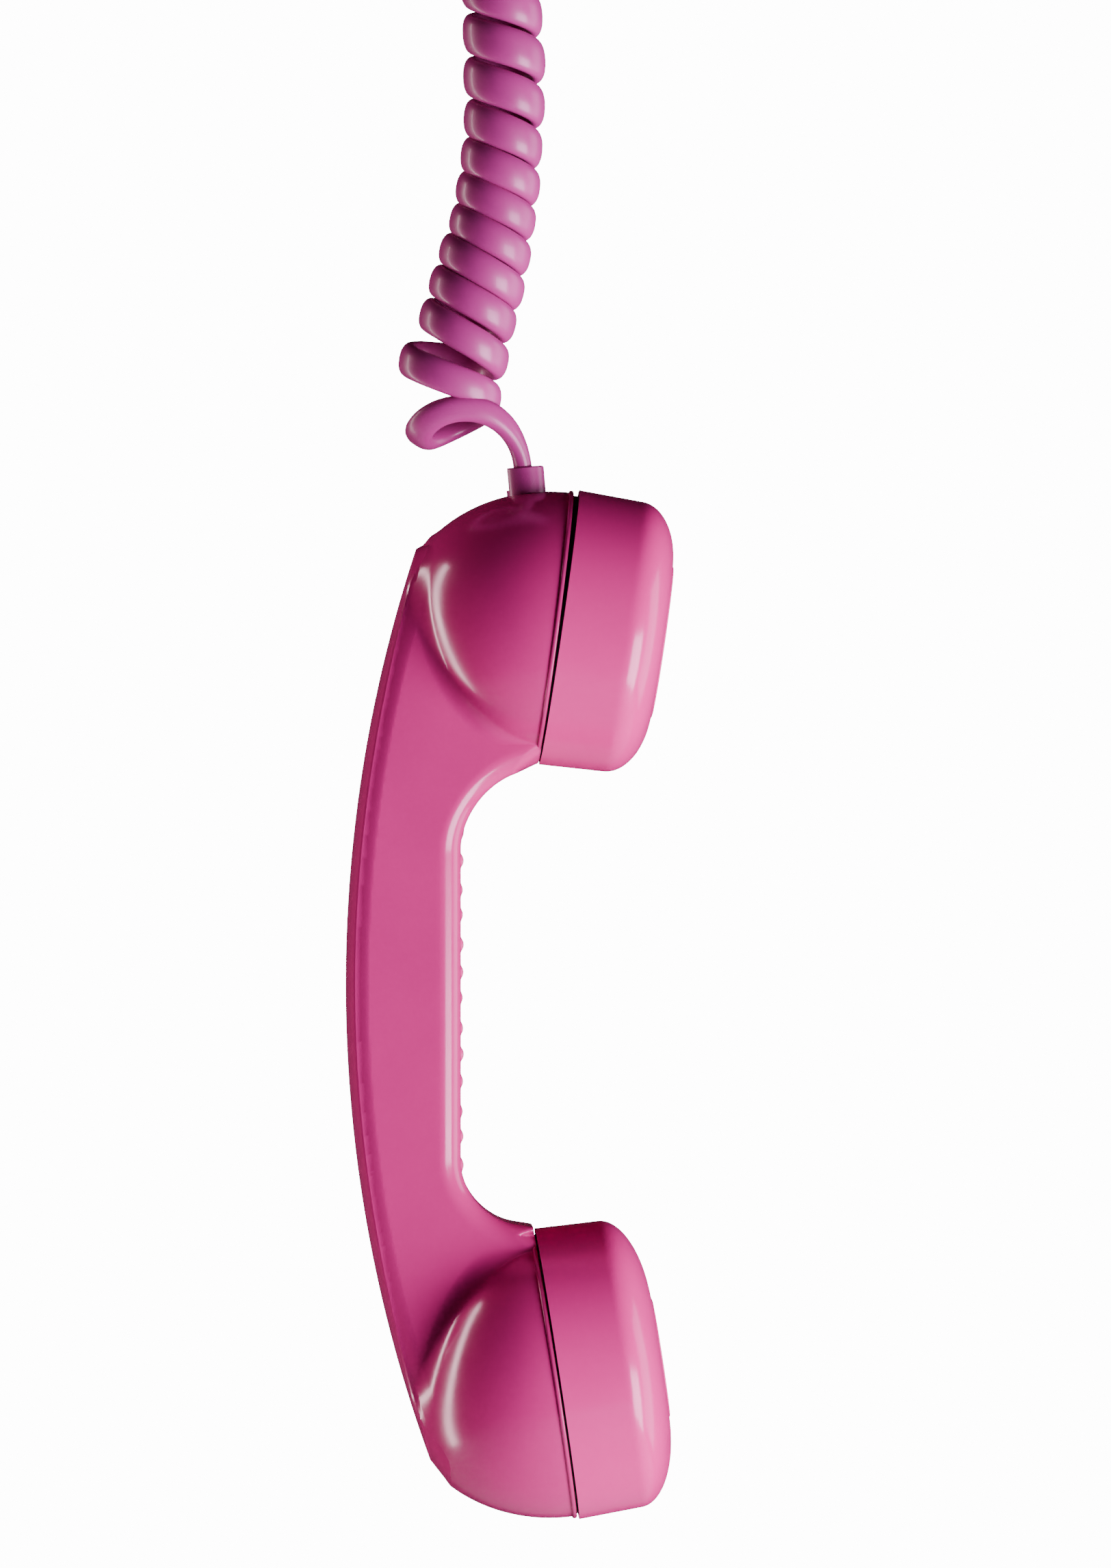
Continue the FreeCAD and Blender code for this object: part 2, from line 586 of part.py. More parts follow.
def terminals(spread):
    """The receiver's two terminal screws, each through a lug that a lead is crimped in."""
    screws, lugs = [], []
    lug_low = mm("terminal_back") - 0.55
    for number, side in enumerate((-1, 1)):
        axis = Placement(Vector(0, side * spread, 0), Rotation())
        beside = Placement(Vector(3.6, side * spread, 0), Rotation())
        screws.append(disc(f"terminal_head_{number}", axis, lug_low - 1.55, 2.4, 1.5))
        screws.append(disc(f"terminal_shank_{number}", axis, lug_low - 0.15, 1.15, 2.0))
        whole = disc(f"lug_disc_{number}", axis, lug_low, 2.7, 0.5)
        hole = disc(f"lug_hole_{number}", axis, lug_low - 0.45, 1.25, 1.5)
        flat = cut(f"lug_ring_{number}", whole, hole)
        barrel = disc(f"lug_barrel_{number}", beside, lug_low - 3.45, 1.0, 3.95)
        lugs.append(fuse(f"lug_{number}", [flat, barrel]))
    finished(fuse("terminal_screws_group", screws), "receiver_terminal_screws", EAR)
    finished(fuse("spade_lugs_group", lugs), "receiver_lugs", EAR)


# ---- contact holder, leads, damper ----

def contact_holder():
    plate = turned("holder_plate", ring(0, "holder_radius", "holder_back", "holder_front"))
    drilled(plate, "holder_screw_holes", [(0, -mm("boss_spread")), (0, mm("boss_spread"))], 1.3, 80)
    upper = primitive("Box", "holder_trim", Placement(
        Vector(-30 - mm("holder_cut"), -30, -20), Rotation()), Length=30, Width=60, Height=20)
    finished(cut("holder_cut_plate", plate, upper), "contact_holder", MOUTH)
    leaves = {
        "centre_contact": [(-9.0, -12.75), (-3.0, -12.75), (-0.2, -5.85), (2.2, -5.85), (2.2, -5.45),
                           (-0.5, -5.45), (-3.3, -12.35), (-9.0, -12.35)],
        "ring_contact": [(9.0, -12.75), (15.5, -12.75), (18.2, -4.95), (15.4, -4.95), (15.4, -4.6),
                         (18.7, -4.6), (15.8, -12.35), (9.0, -12.35)],
    }
    for name, outline in leaves.items():
        finished(extruded(name + "_leaf", "XZ_Plane", outline, 4.0), name, MOUTH)
    screws = []
    for number, side in enumerate((-1, 1)):
        axis = Placement(Vector(0, side * mm("boss_spread"), 0), Rotation())
        screws += [primitive("Cylinder", f"holder_head_{number}", lifted(axis, mm("holder_front")),
                             Radius=2.8, Height=1.8),
                   primitive("Cylinder", f"holder_shank_{number}", lifted(axis, mm("holder_back") - 6.5),
                             Radius="pilot_radius - 0.05", Height=9.3)]
    finished(fuse("holder_screws_group", screws), "holder_screws", MOUTH)


LEAD_ROUTES = {
    # from the end of the cord's jacket to the contact holder's upper edge
    "transmitter_lead_red": [(9.7, -1.4, 101.2), (9.0, -3.0, 98.6), (6.9, -5.4, 97.6), (5.3, -6.0, 97.5)],
    "transmitter_lead_black": [(10.6, 1.2, 101.2), (10.3, 5.0, 98.9), (7.6, 8.6, 97.8), (5.3, 9.2, 97.5)],
    # from the cord through the grip's tunnel to the receiver's lugs
    "receiver_lead_white": [
        (8.6, -0.6, 101.2), (6.5, -0.9, 99.9), (-2.0, -1.8, 97.5), (-9.5, -2.2, 90.0), (-13.0, -2.0, 74.0),
        (-15.5, -2.4, 52.0), (-17.6, -2.0, 20.0), (-17.8, -2.4, -15.0), (-16.4, -2.0, -48.0),
        (-14.2, -2.6, -70.0), (-9.0, -5.2, -82.5), (-2.0, -7.0, -86.4), (3.05, -7.0, -86.3)],
    "receiver_lead_green": [
        (9.3, 1.3, 101.2), (6.6, 1.8, 99.2), (-1.0, 1.6, 95.5), (-8.0, 2.2, 88.0), (-12.4, 2.4, 73.0),
        (-14.9, 2.0, 51.0), (-17.4, 2.4, 18.0), (-17.7, 2.0, -17.0), (-16.2, 2.4, -49.0),
        (-13.8, 2.8, -70.5), (-8.6, 5.2, -82.7), (-1.8, 7.0, -86.5), (3.05, 7.0, -86.3)],
}


def leads():
    for name, route in LEAD_ROUTES.items():
        tube(name, route, mm("lead_thickness"))
    block = primitive("Box", "damper_block", WORLD, Length=5.0, Width=15.0, Height=44.0)
    finished(block, "sound_damper", HANDSET * Placement(Vector(-13.2, -7.5, -22.0), Rotation()))


# ---- cord ----

# The coil's middle line, from the plug down, and the free strand from the coil over to the collar.
COIL_ROUTE = [(4.6, 0, 238.0), (4.4, 0, 222.0), (5.7, 0, 203.0), (5.4, 0, 186.0), (2.9, 0, 168.0),
              (-1.7, 0, 150.5), (-5.6, 0, 135.0), (-7.2, 0, 120.5)]
TAIL_ROUTE = [(-9.0, -4.5, 121.5), (-6.4, -7.0, 125.3), (-1.6, -7.4, 127.9), (3.4, -6.0, 126.9),
              (7.4, -3.0, 123.2), (9.5, -0.9, 118.0), (9.75, 0.0, 112.6), (9.65, 0.0, 107.0),
              (10.0, 0.0, 101.4)]
LEAD_IN_ROUTE = [(4.6, 0, 237.9), (4.6, 0, 250.0)]


ANCHOR_IN_HANDSET = Placement(Vector(9.95, 0, 102.1), Rotation(Vector(0, 1, 0), -3.6))


def cord():
    """The cord's collar and anchor, its free strand, its coil as one fat tube, and its run into the plug."""
    collar = turned("collar_body", [
        ("cord_thickness / 2 + 0.1", "-collar_sink - collar_flange_height"),
        ("collar_flange", "-collar_sink - collar_flange_height"), ("collar_flange", "-collar_sink"),
        ("collar_radius", "-collar_sink"), ("collar_radius", "collar_rise - 0.3"),
        ("collar_radius - 0.3", "collar_rise"), ("cord_thickness / 2 + 0.1", "collar_rise")])
    flat = primitive("Box", "collar_facet", Placement(
        Vector(-mm("collar_flat") - 4, -6, 1.2), Rotation()), Length=4, Width=12, Height=12)
    finished(cut("collar_with_facet", collar, flat), "cord_collar", HANDSET * COLLAR_IN_HANDSET)
    anchor = turned("anchor_body", ring("cord_thickness / 2 + 0.05", "cord_thickness / 2 + anchor_wall",
                                        0, "anchor_height"))
    finished(anchor, "cord_anchor", HANDSET * ANCHOR_IN_HANDSET)
    tube("cord_tail", TAIL_ROUTE, mm("cord_thickness"))
    tube("cord_coil", COIL_ROUTE, mm("coil_thickness"))
    tube("cord_lead_in", LEAD_IN_ROUTE, mm("cord_thickness"))


# ---- plug ----

def contact_row(kind, width, depth):
    """Four upright slots or blades side by side in the plug's nose."""
    return [primitive("Box", f"{kind}_{number}",
                      Placement(Vector((number - 1.5) * mm("contact_pitch") - mm(width) / 2,
                                       -mm("plug_height") / 2, -mm("contact_length") - 0.6), Rotation()),
                      Length=width, Width=depth, Height="contact_length")
            for number in range(4)]


def plug():
    """A four-contact modular plug, nose up, with a latch that bends at its nose."""
    block = primitive("Box", "plug_block", Placement(
        Vector(-mm("plug_width") / 2, -mm("plug_height") / 2, -mm("plug_length")), Rotation()),
        Length="plug_width", Width="plug_height", Height="plug_length")
    bridge = primitive("Box", "latch_bridge", Placement(
        Vector(-mm("latch_width") / 2, mm("plug_height") / 2 - 0.1, -0.5), Rotation()),
        Length="latch_width", Width=1.2, Height=0.5)
    entry_corner = Vector(-mm("plug_entry_width") / 2, -mm("plug_entry_height") / 2, -mm("plug_length") - 0.1)
    entry = primitive("Box", "cord_entry", Placement(entry_corner, Rotation()),
                      Length="plug_entry_width", Width="plug_entry_height", Height="plug_entry_depth + 0.1")
    slots = contact_row("contact_slot_cut", "contact_slot", "contact_depth")
    body = cut("plug_cut", fuse("plug_outside", [block, bridge]), fuse("plug_hollows", [entry] + slots))
    finished(body, "plug_body", WORLD)
    blades = contact_row("contact_blade_part", "contact_blade", "contact_depth - 0.3")
    finished(fuse("contact_blades", blades), "plug_contacts", Placement(Vector(0, 0.25, 0), Rotation()))

    pivot = Placement(Vector(0, mm("latch_pivot_y"), mm("latch_pivot_z")),
                      Rotation(Vector(1, 0, 0), mm("latch_lean")))
    root = primitive("Cylinder", "latch_root", Placement(
        Vector(-mm("latch_width") / 2, 0, 0), Rotation(Vector(0, 1, 0), 90)),
        Radius="latch_root_radius", Height="latch_width")
    strip = primitive("Box", "latch_strip", Placement(
        Vector(-mm("latch_width") / 2, -mm("latch_root_radius"), -mm("latch_length")), Rotation()),
        Length="latch_width", Width="latch_thickness", Height="latch_length")
    step = primitive("Box", "latch_step", Placement(
        Vector(-mm("latch_width"), -mm("latch_root_radius"), -8.2), Rotation()),
        Length="2 * latch_width", Width="latch_thickness", Height=3.4)
    finished(fuse("latch_parts", [root, strip, step]), "plug_latch", pivot)


# ---- checks and export ----

def export_pieces():
    doc.recompute()
    bad = [thing.Label for thing in doc.Objects if {"Invalid", "Error"} & set(thing.State)]
    assert not bad, f"objects in error: {bad}"
    os.makedirs("parts", exist_ok=True)
    for thing in pieces:
        shape = thing.Shape
        assert not shape.isNull() and shape.isValid(), thing.Label + " has no valid shape"
        assert shape.Volume > 0, thing.Label + " is empty"
        shape.exportStep(f"parts/{thing.Label}.step")
    print(len(pieces), "pieces written")


handset_shell()
cap("mouth", [6, 12])
cap("ear", [6])
transmitter()
receiver()
contact_holder()
leads()
cord()
plug()
export_pieces()
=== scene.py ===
"""Looks for a pink one-piece telephone handset that hangs from its own curly cord.

Lengths are metres unless a name, comment or heading says mm. The handset frame is the one that the
design uses: upright, its origin in the middle of the grip. The outlines below are written in it, in mm.
"""
import json
import math

import bpy
import numpy as np
from mathutils import Matrix, Vector


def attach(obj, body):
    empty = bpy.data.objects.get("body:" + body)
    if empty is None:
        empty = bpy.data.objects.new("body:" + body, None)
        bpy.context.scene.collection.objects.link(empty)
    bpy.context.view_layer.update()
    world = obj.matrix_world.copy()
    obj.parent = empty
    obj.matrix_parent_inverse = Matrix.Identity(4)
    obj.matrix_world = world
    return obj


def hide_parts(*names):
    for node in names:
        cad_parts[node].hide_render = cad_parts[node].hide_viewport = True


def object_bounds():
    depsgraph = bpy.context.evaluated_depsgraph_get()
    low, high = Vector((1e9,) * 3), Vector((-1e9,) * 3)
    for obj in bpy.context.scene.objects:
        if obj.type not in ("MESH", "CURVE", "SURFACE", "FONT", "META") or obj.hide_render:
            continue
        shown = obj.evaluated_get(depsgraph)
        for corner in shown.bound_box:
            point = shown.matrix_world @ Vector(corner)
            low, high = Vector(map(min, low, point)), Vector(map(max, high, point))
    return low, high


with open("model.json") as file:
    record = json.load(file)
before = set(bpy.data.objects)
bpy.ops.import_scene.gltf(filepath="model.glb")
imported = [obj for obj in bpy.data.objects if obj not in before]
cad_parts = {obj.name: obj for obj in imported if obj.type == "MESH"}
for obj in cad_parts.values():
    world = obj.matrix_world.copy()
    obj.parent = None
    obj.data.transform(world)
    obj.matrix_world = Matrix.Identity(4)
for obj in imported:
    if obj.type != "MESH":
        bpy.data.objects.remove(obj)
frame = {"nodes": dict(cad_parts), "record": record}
CAD_BOX = [list(corner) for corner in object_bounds()]

MM = 0.001
HANDSET_ORIGIN_MM = np.array([-4.6, 0.0, -256.0])


def to_world(points_mm):
    """Points of the handset frame, in millimetres, as places in the row frame, in metres."""
    return (np.asarray(points_mm, float) + HANDSET_ORIGIN_MM) * MM


# ---- camera ----

CAMERA_CENTRE = (0.0120, 0.0, -0.2086)
CAMERA_DISTANCE = 2.2
CAMERA_BEHIND_DEG = 1.5
SEEN_HEIGHT = 0.3404
SENSOR_HEIGHT_MM = 24.0


def add_camera():
    """A long lens, level, square to the handset's side and a little behind it."""
    centre = Vector(CAMERA_CENTRE)
    data = bpy.data.cameras.new("camera")
    data.sensor_fit = "VERTICAL"
    data.sensor_height = SENSOR_HEIGHT_MM
    data.lens = data.sensor_height * CAMERA_DISTANCE / SEEN_HEIGHT
    data.clip_end = 20.0
    camera = bpy.data.objects.new("camera", data)
    bpy.context.scene.collection.objects.link(camera)
    angle = math.radians(CAMERA_BEHIND_DEG)
    towards = Vector((-math.sin(angle), -math.cos(angle), 0.0))
    camera.location = centre + CAMERA_DISTANCE * towards
    camera.rotation_euler = (centre - camera.location).to_track_quat("-Z", "Y").to_euler()
    bpy.context.scene.camera = camera


# ---- light, floor ----

# Strength of the white that only the camera sees, and the dim room that lights and reflects.
BACKDROP_STRENGTH = 14.0
ROOM_BELOW = (0.06, 0.045, 0.05, 1.0)
ROOM_ABOVE = (0.004, 0.003, 0.003, 1.0)
LAMP_TARGET = (0.0, 0.0, -0.25)
# Each lamp's name, place, size, power in watts, and colour.
LAMPS = [
    ("key", (0.86, -0.62, -0.64), (0.70, 0.80), 36.0, (1.0, 0.96, 0.99)),
    ("bounce", (0.35, -0.45, -1.05), (1.0, 0.8), 3.5, (1.0, 0.94, 0.97)),
    ("right_strip", (0.95, 0.16, -0.30), (0.50, 0.90), 5.0, (1.0, 0.93, 1.0)),
    ("left_warm", (-0.82, 0.22, -0.42), (0.09, 1.70), 10.5, (1.0, 0.84, 0.78)),
]
FLOOR_DROP = 0.42
FLOOR_RADIUS = 0.75
FLOOR_PALE = 0.86


def add_softbox(name, place, size, power, colour):
    """A rectangular lamp aimed at the handset, which the camera doesn't see."""
    data = bpy.data.lights.new(name, "AREA")
    data.shape = "RECTANGLE"
    data.size, data.size_y = size
    data.energy = power
    data.color = colour
    light = bpy.data.objects.new(name, data)
    bpy.context.scene.collection.objects.link(light)
    light.location = Vector(place)
    aim = Vector(LAMP_TARGET) - Vector(place)
    light.rotation_euler = aim.to_track_quat("-Z", "Y").to_euler()
    light.visible_camera = False


def add_world():
    """A white room to the camera, which lights and reflects only dimly, and less from above."""
    world = bpy.data.worlds.new("studio")
    bpy.context.scene.world = world
    world.use_nodes = True
    nodes, links = world.node_tree.nodes, world.node_tree.links
    nodes.clear()
    output = nodes.new("ShaderNodeOutputWorld")
    mix = nodes.new("ShaderNodeMixShader")
    seen = nodes.new("ShaderNodeBackground")
    seen.inputs["Color"].default_value = (1.0, 1.0, 1.0, 1.0)
    seen.inputs["Strength"].default_value = BACKDROP_STRENGTH
    dim = nodes.new("ShaderNodeBackground")
    dim.inputs["Strength"].default_value = 1.0
    ramp = nodes.new("ShaderNodeValToRGB")
    ramp.color_ramp.elements[0].position = 0.30
    ramp.color_ramp.elements[0].color = ROOM_BELOW
    ramp.color_ramp.elements[1].position = 0.72
    ramp.color_ramp.elements[1].color = ROOM_ABOVE
    coordinates = nodes.new("ShaderNodeTexCoord")
    split = nodes.new("ShaderNodeSeparateXYZ")
    scale = nodes.new("ShaderNodeMapRange")
    scale.inputs["From Min"].default_value = -1.0
    path = nodes.new("ShaderNodeLightPath")
    links.new(coordinates.outputs["Generated"], split.inputs[0])
    links.new(split.outputs["Z"], scale.inputs["Value"])
    links.new(scale.outputs["Result"], ramp.inputs["Fac"])
    links.new(ramp.outputs["Color"], dim.inputs["Color"])
    links.new(path.outputs["Is Camera Ray"], mix.inputs["Fac"])
    links.new(dim.outputs[0], mix.inputs[1])
    links.new(seen.outputs[0], mix.inputs[2])
    links.new(mix.outputs[0], output.inputs["Surface"])


def add_floor():
    """A pale floor well below the hanging handset."""
    place = (0.0, 0.0, CAD_BOX[0][2] - FLOOR_DROP)
    bpy.ops.mesh.primitive_circle_add(vertices=128, radius=FLOOR_RADIUS, fill_type="NGON",
                                      location=place)
    floor = bpy.context.object
    floor.name = "floor"
    paint = bpy.data.materials.new("floor_paint")
    paint.use_nodes = True
    shader = paint.node_tree.nodes["Principled BSDF"]
    shader.inputs["Base Color"].default_value = (FLOOR_PALE, FLOOR_PALE, FLOOR_PALE, 1.0)
    shader.inputs["Roughness"].default_value = 0.8
    floor.data.materials.append(paint)


# ---- materials ----

PINK = (0.660, 0.025, 0.240)
VINYL = (0.450, 0.038, 0.255)
HIGHLIGHT = (1.0, 0.70, 0.90)
# How much lighter the caps' copy of the shell's pink is: painted light.
CAP_PAINTED_LIGHT = 1.25
CAP_NODES = ("mouthpiece_cap", "earpiece_cap")


def new_material(name, colour, roughness, metallic=0.0, coat=0.0, coat_roughness=0.1, ior=1.5):
    """A principled material, its uniform values set on the shader's own sockets."""
    material = bpy.data.materials.new(name)
    material.use_nodes = True
    shader = material.node_tree.nodes["Principled BSDF"]
    shader.inputs["Base Color"].default_value = (*colour, 1.0)
    shader.inputs["Roughness"].default_value = roughness
    shader.inputs["Metallic"].default_value = metallic
    shader.inputs["Coat Weight"].default_value = coat
    shader.inputs["Coat Roughness"].default_value = coat_roughness
    shader.inputs["IOR"].default_value = ior
    return material


def noise(material, scale, detail=3.0, stretch=(1.0, 1.0, 1.0)):
    """A noise texture in the object's own coordinates, stretched along its axes."""
    nodes, links = material.node_tree.nodes, material.node_tree.links
    coordinates = nodes.new("ShaderNodeTexCoord")
    mapping = nodes.new("ShaderNodeMapping")
    mapping.inputs["Scale"].default_value = stretch
    texture = nodes.new("ShaderNodeTexNoise")
    texture.inputs["Scale"].default_value = scale
    texture.inputs["Detail"].default_value = detail
    links.new(coordinates.outputs["Object"], mapping.inputs["Vector"])
    links.new(mapping.outputs["Vector"], texture.inputs["Vector"])
    return texture


def blend_colours(material, texture, dark, light):
    """Colours the surface from the texture, from dark to light."""
    nodes, links = material.node_tree.nodes, material.node_tree.links
    ramp = nodes.new("ShaderNodeValToRGB")
    ramp.color_ramp.elements[0].position = 0.35
    ramp.color_ramp.elements[0].color = (*dark, 1.0)
    ramp.color_ramp.elements[1].position = 0.65
    ramp.color_ramp.elements[1].color = (*light, 1.0)
    links.new(texture.outputs["Fac"], ramp.inputs["Fac"])
    links.new(ramp.outputs["Color"], nodes["Principled BSDF"].inputs["Base Color"])


def vary_roughness(material, texture, low, high):
    """Runs the roughness from low to high with the texture."""
    nodes, links = material.node_tree.nodes, material.node_tree.links
    scale = nodes.new("ShaderNodeMapRange")
    scale.inputs["From Min"].default_value = 0.3
    scale.inputs["From Max"].default_value = 0.7
    scale.inputs["To Min"].default_value = low
    scale.inputs["To Max"].default_value = high
    links.new(texture.outputs["Fac"], scale.inputs["Value"])
    links.new(scale.outputs["Result"], nodes["Principled BSDF"].inputs["Roughness"])


def roughen(material, texture, height, strength=1.0):
    """Bump of a given height, in metres."""
    nodes, links = material.node_tree.nodes, material.node_tree.links
    bump = nodes.new("ShaderNodeBump")
    bump.inputs["Strength"].default_value = strength
    bump.inputs["Distance"].default_value = height
    links.new(texture.outputs["Fac"], bump.inputs["Height"])
    links.new(bump.outputs["Normal"], nodes["Principled BSDF"].inputs["Normal"])


def moulded_plastic(name, colour, roughness, spread=0.025, coat=0.12, tint=(1.0, 1.0, 1.0)):
    """Glossy moulded plastic: faint cloudiness, fine dimples, and a few rubbed, duller patches."""
    cloud_scale, patch_scale, dimple_scale = 55.0, 130.0, 700.0
    dimple_height, dimple_strength = 0.000004, 0.2
    material = new_material(name, colour, roughness, coat=coat, coat_roughness=0.12)
    shader = material.node_tree.nodes["Principled BSDF"]
    shader.inputs["Specular Tint"].default_value = (*tint, 1.0)
    dark = [channel * (1 - spread) for channel in colour]
    light = [min(channel * (1 + spread), 1.0) for channel in colour]
    blend_colours(material, noise(material, cloud_scale, 4.0), dark, light)
    patches = noise(material, patch_scale, 5.0)
    vary_roughness(material, patches, roughness * 0.85, roughness * 1.2)
    roughen(material, noise(material, dimple_scale, 1.0), dimple_height, dimple_strength)
    return material


def satin_metal(name, colour, roughness):
    """Pressed or turned metal with fine drawing marks."""
    material = new_material(name, colour, roughness, metallic=1.0)
    marks = noise(material, 300.0, 4.0, stretch=(1.0, 1.0, 12.0))
    blend_colours(material, marks, [channel * 0.85 for channel in colour], colour)
    vary_roughness(material, marks, roughness * 0.8, roughness * 1.3)
    roughen(material, marks, 0.00001, 0.3)
    return material


def dull_surface(name, colour, roughness, grain, height):
    """Rubber, felt, film and granules: a grain of its own size, in colour and in relief."""
    material = new_material(name, colour, roughness)
    texture = noise(material, grain, 5.0)
    blend_colours(material, texture, [channel * 0.7 for channel in colour], colour)
    roughen(material, texture, height)
    return material


def clear_plastic(name):
    """The plug's clear plastic, slightly wavy and unevenly glossy."""
    material = new_material(name, (0.93, 0.95, 0.97), 0.06, ior=1.49)
    shader = material.node_tree.nodes["Principled BSDF"]
    shader.inputs["Transmission Weight"].default_value = 0.85
    vary_roughness(material, noise(material, 400.0, 4.0), 0.04, 0.12)
    roughen(material, noise(material, 250.0, 2.0), 0.00002, 0.3)
    return material


# Slots of plain moulded plastic and of metal: colour and roughness.
PLASTICS = {
    "varistor_coat": ((0.06, 0.16, 0.36), 0.35),
    "wire_red": ((0.50, 0.02, 0.02), 0.35),
    "wire_black": ((0.02, 0.02, 0.02), 0.35),
    "wire_white": ((0.80, 0.80, 0.78), 0.35),
    "wire_green": ((0.03, 0.28, 0.08), 0.35),
}
METALS = {
    "gold_contact": ((0.86, 0.62, 0.24), 0.2),
    "brass": ((0.74, 0.56, 0.26), 0.3),
    "spring_bronze": ((0.70, 0.46, 0.26), 0.28),
    "steel": ((0.60, 0.61, 0.63), 0.3),
    "magnet_alloy": ((0.28, 0.28, 0.30), 0.5),
    "aluminium": ((0.78, 0.79, 0.80), 0.36),
}
# Slots with a grain: colour, roughness, the grain's scale, and its height.
DULL = {
    "gasket_rubber": ((0.03, 0.03, 0.03), 0.75, 900.0, 0.00003),
    "membrane_film": ((0.82, 0.80, 0.72), 0.35, 200.0, 0.00001),
    "copper_winding": ((0.55, 0.24, 0.11), 0.35, 1200.0, 0.00008),
    "felt": ((0.50, 0.49, 0.45), 0.95, 1500.0, 0.0001),
    "carbon": ((0.015, 0.015, 0.015), 0.6, 2500.0, 0.0002),
}


def make_materials():
    """One material for each slot of the record."""
    made = {
        "pink_plastic": moulded_plastic("pink_plastic", PINK, 0.18, tint=HIGHLIGHT),
        "pink_vinyl": moulded_plastic("pink_vinyl", VINYL, 0.36, spread=0.07, tint=HIGHLIGHT),
        "clear_plastic": clear_plastic("clear_plastic"),
        "black_plastic": moulded_plastic("black_plastic", (0.022, 0.022, 0.025), 0.5, coat=0.0),
    }
    made.update({name: moulded_plastic(name, *facts) for name, facts in PLASTICS.items()})
    made.update({name: satin_metal(name, *facts) for name, facts in METALS.items()})
    made.update({name: dull_surface(name, *facts) for name, facts in DULL.items()})
    return made


def paint_cad_nodes(materials):
    """Each piece of the design gets its own slot's material; the caps get a lighter copy of the pink,
    which is painted light.
    """
    slots = {part["node"]: part["material_slot"] for part in frame["record"]["subparts"]}
    # Painted light: the same pink plastic, made lighter on the caps.
    painted_lighter_pink = [min(channel * CAP_PAINTED_LIGHT, 0.85) for channel in PINK]
    cap_plastic_painted_lighter = moulded_plastic("pink_plastic_caps_painted_lighter", painted_lighter_pink, 0.21, tint=HIGHLIGHT)
    for name, thing in frame["nodes"].items():
        thing.data.materials.clear()
        thing.data.materials.append(cap_plastic_painted_lighter if name in CAP_NODES else materials[slots[name]])


def new_mesh_object(name, vertices, faces, material, smooth=True):
    """A new object at the origin, its place in its mesh."""
    mesh = bpy.data.meshes.new(name)
    mesh.from_pydata([tuple(v) for v in vertices], [], [tuple(f) for f in faces])
    mesh.materials.append(material)
    if smooth:
        mesh.polygons.foreach_set("use_smooth", [True] * len(mesh.polygons))
    thing = bpy.data.objects.new(name, mesh)
    bpy.context.scene.collection.objects.link(thing)
    return thing


def smooth_step(value, low, high):
    """0 below low, 1 above high, with a smooth run between them."""
    t = np.clip((value - low) / (high - low), 0.0, 1.0)
    return t * t * (3 - 2 * t)


def unit(vectors):
    """Each vector at length 1."""
    return vectors / np.linalg.norm(vectors, axis=-1, keepdims=True)


# ---- curly cord ----

# The design's route of the run into the plug, of the coil's middle line from there down, and of the
# free strand from the coil's last turn round behind it, over its front and down into the collar.
# Handset frame, mm.
LEAD_IN_MM = [(4.6, 0, 250.0), (4.6, 0, 244.0), (4.6, 0, 238.0)]
COIL_ROUTE_MM = [(4.6, 0, 238.0), (4.4, 0, 222.0), (5.7, 0, 203.0), (5.4, 0, 186.0),
                 (2.9, 0, 168.0), (-1.7, 0, 150.5), (-5.6, 0, 135.0), (-7.2, 0, 120.5)]
FREE_STRAND_MM = [(2.8, 0.5, 130.2), (1.6, 5.6, 128.9), (-3.0, 8.0, 126.6), (-9.0, 6.0, 123.6),
                  (-13.0, 1.2, 121.6), (-13.7, -4.0, 124.0), (-9.8, -7.6, 127.6),
                  (-4.0, -8.6, 129.0), (2.2, -7.2, 128.0), (6.9, -4.2, 124.2),
                  (9.4, -1.4, 118.5), (9.75, 0.0, 112.6), (9.65, 0.0, 107.0), (10.0, 0.0, 101.4)]
STRAND_WIDTH = 0.0070
STRAND_THICKNESS = 0.0040
# The strand is wider in the coil's upper turns, and narrower at the plug and in the free strand.
WIDER_ABOVE = 0.0014
NARROWER_AT_PLUG = 0.0036
NARROWER_WHEN_FREE = 0.0016
FREE_TWIST_DEG = -80
# A turn's pitch is 7.3 mm in the middle of the coil, and more above and below.
PITCH_MM = 7.3
MORE_PITCH_ABOVE_MM = 2.4
MORE_PITCH_BELOW_MM = 1.9
COIL_RADIUS = 0.0072
MORE_RADIUS_BELOW = 0.0018
# How far a turn tips down on its right side, as a share of its distance from the coil's axis.
TURN_LEAN = 0.13
FIRST_RIGHT_HEIGHT_MM = 204.9
COIL_END_HEIGHT_MM = 131.5
LAST_TURN_SLIP = np.array([-0.0022, 0.0, -0.0006])
ROUTE_STEP = 0.00005
STRAND_STEP = 0.0011


def along_route(name, points_mm):
    """Points along the smooth NURBS line of a route."""
    curve = bpy.data.curves.new(name, "CURVE")
    curve.dimensions = "3D"
    spline = curve.splines.new("NURBS")
    spline.points.add(len(points_mm) - 1)
    for point, place in zip(spline.points, to_world(points_mm)):
        point.co = (*place, 1.0)
    spline.order_u = 3
    spline.use_endpoint_u = True
    curve.resolution_u = 24
    thing = bpy.data.objects.new(name, curve)
    bpy.context.scene.collection.objects.link(thing)
    mesh = bpy.data.meshes.new_from_object(thing)
    line = np.array([v.co for v in mesh.vertices], float)
    bpy.data.meshes.remove(mesh)
    bpy.data.objects.remove(thing)
    bpy.data.curves.remove(curve)
    return line


def distances(line):
    """How far along the line each of its points is."""
    gaps = np.linalg.norm(np.diff(line, axis=0), axis=1)
    return np.concatenate([[0.0], np.cumsum(gaps)])


def read_at(marks, reach, rows):
    """The rows that belong at the marks, from rows that belong at the distances in reach."""
    return np.stack([np.interp(marks, reach, rows[:, axis]) for axis in range(3)], axis=1)


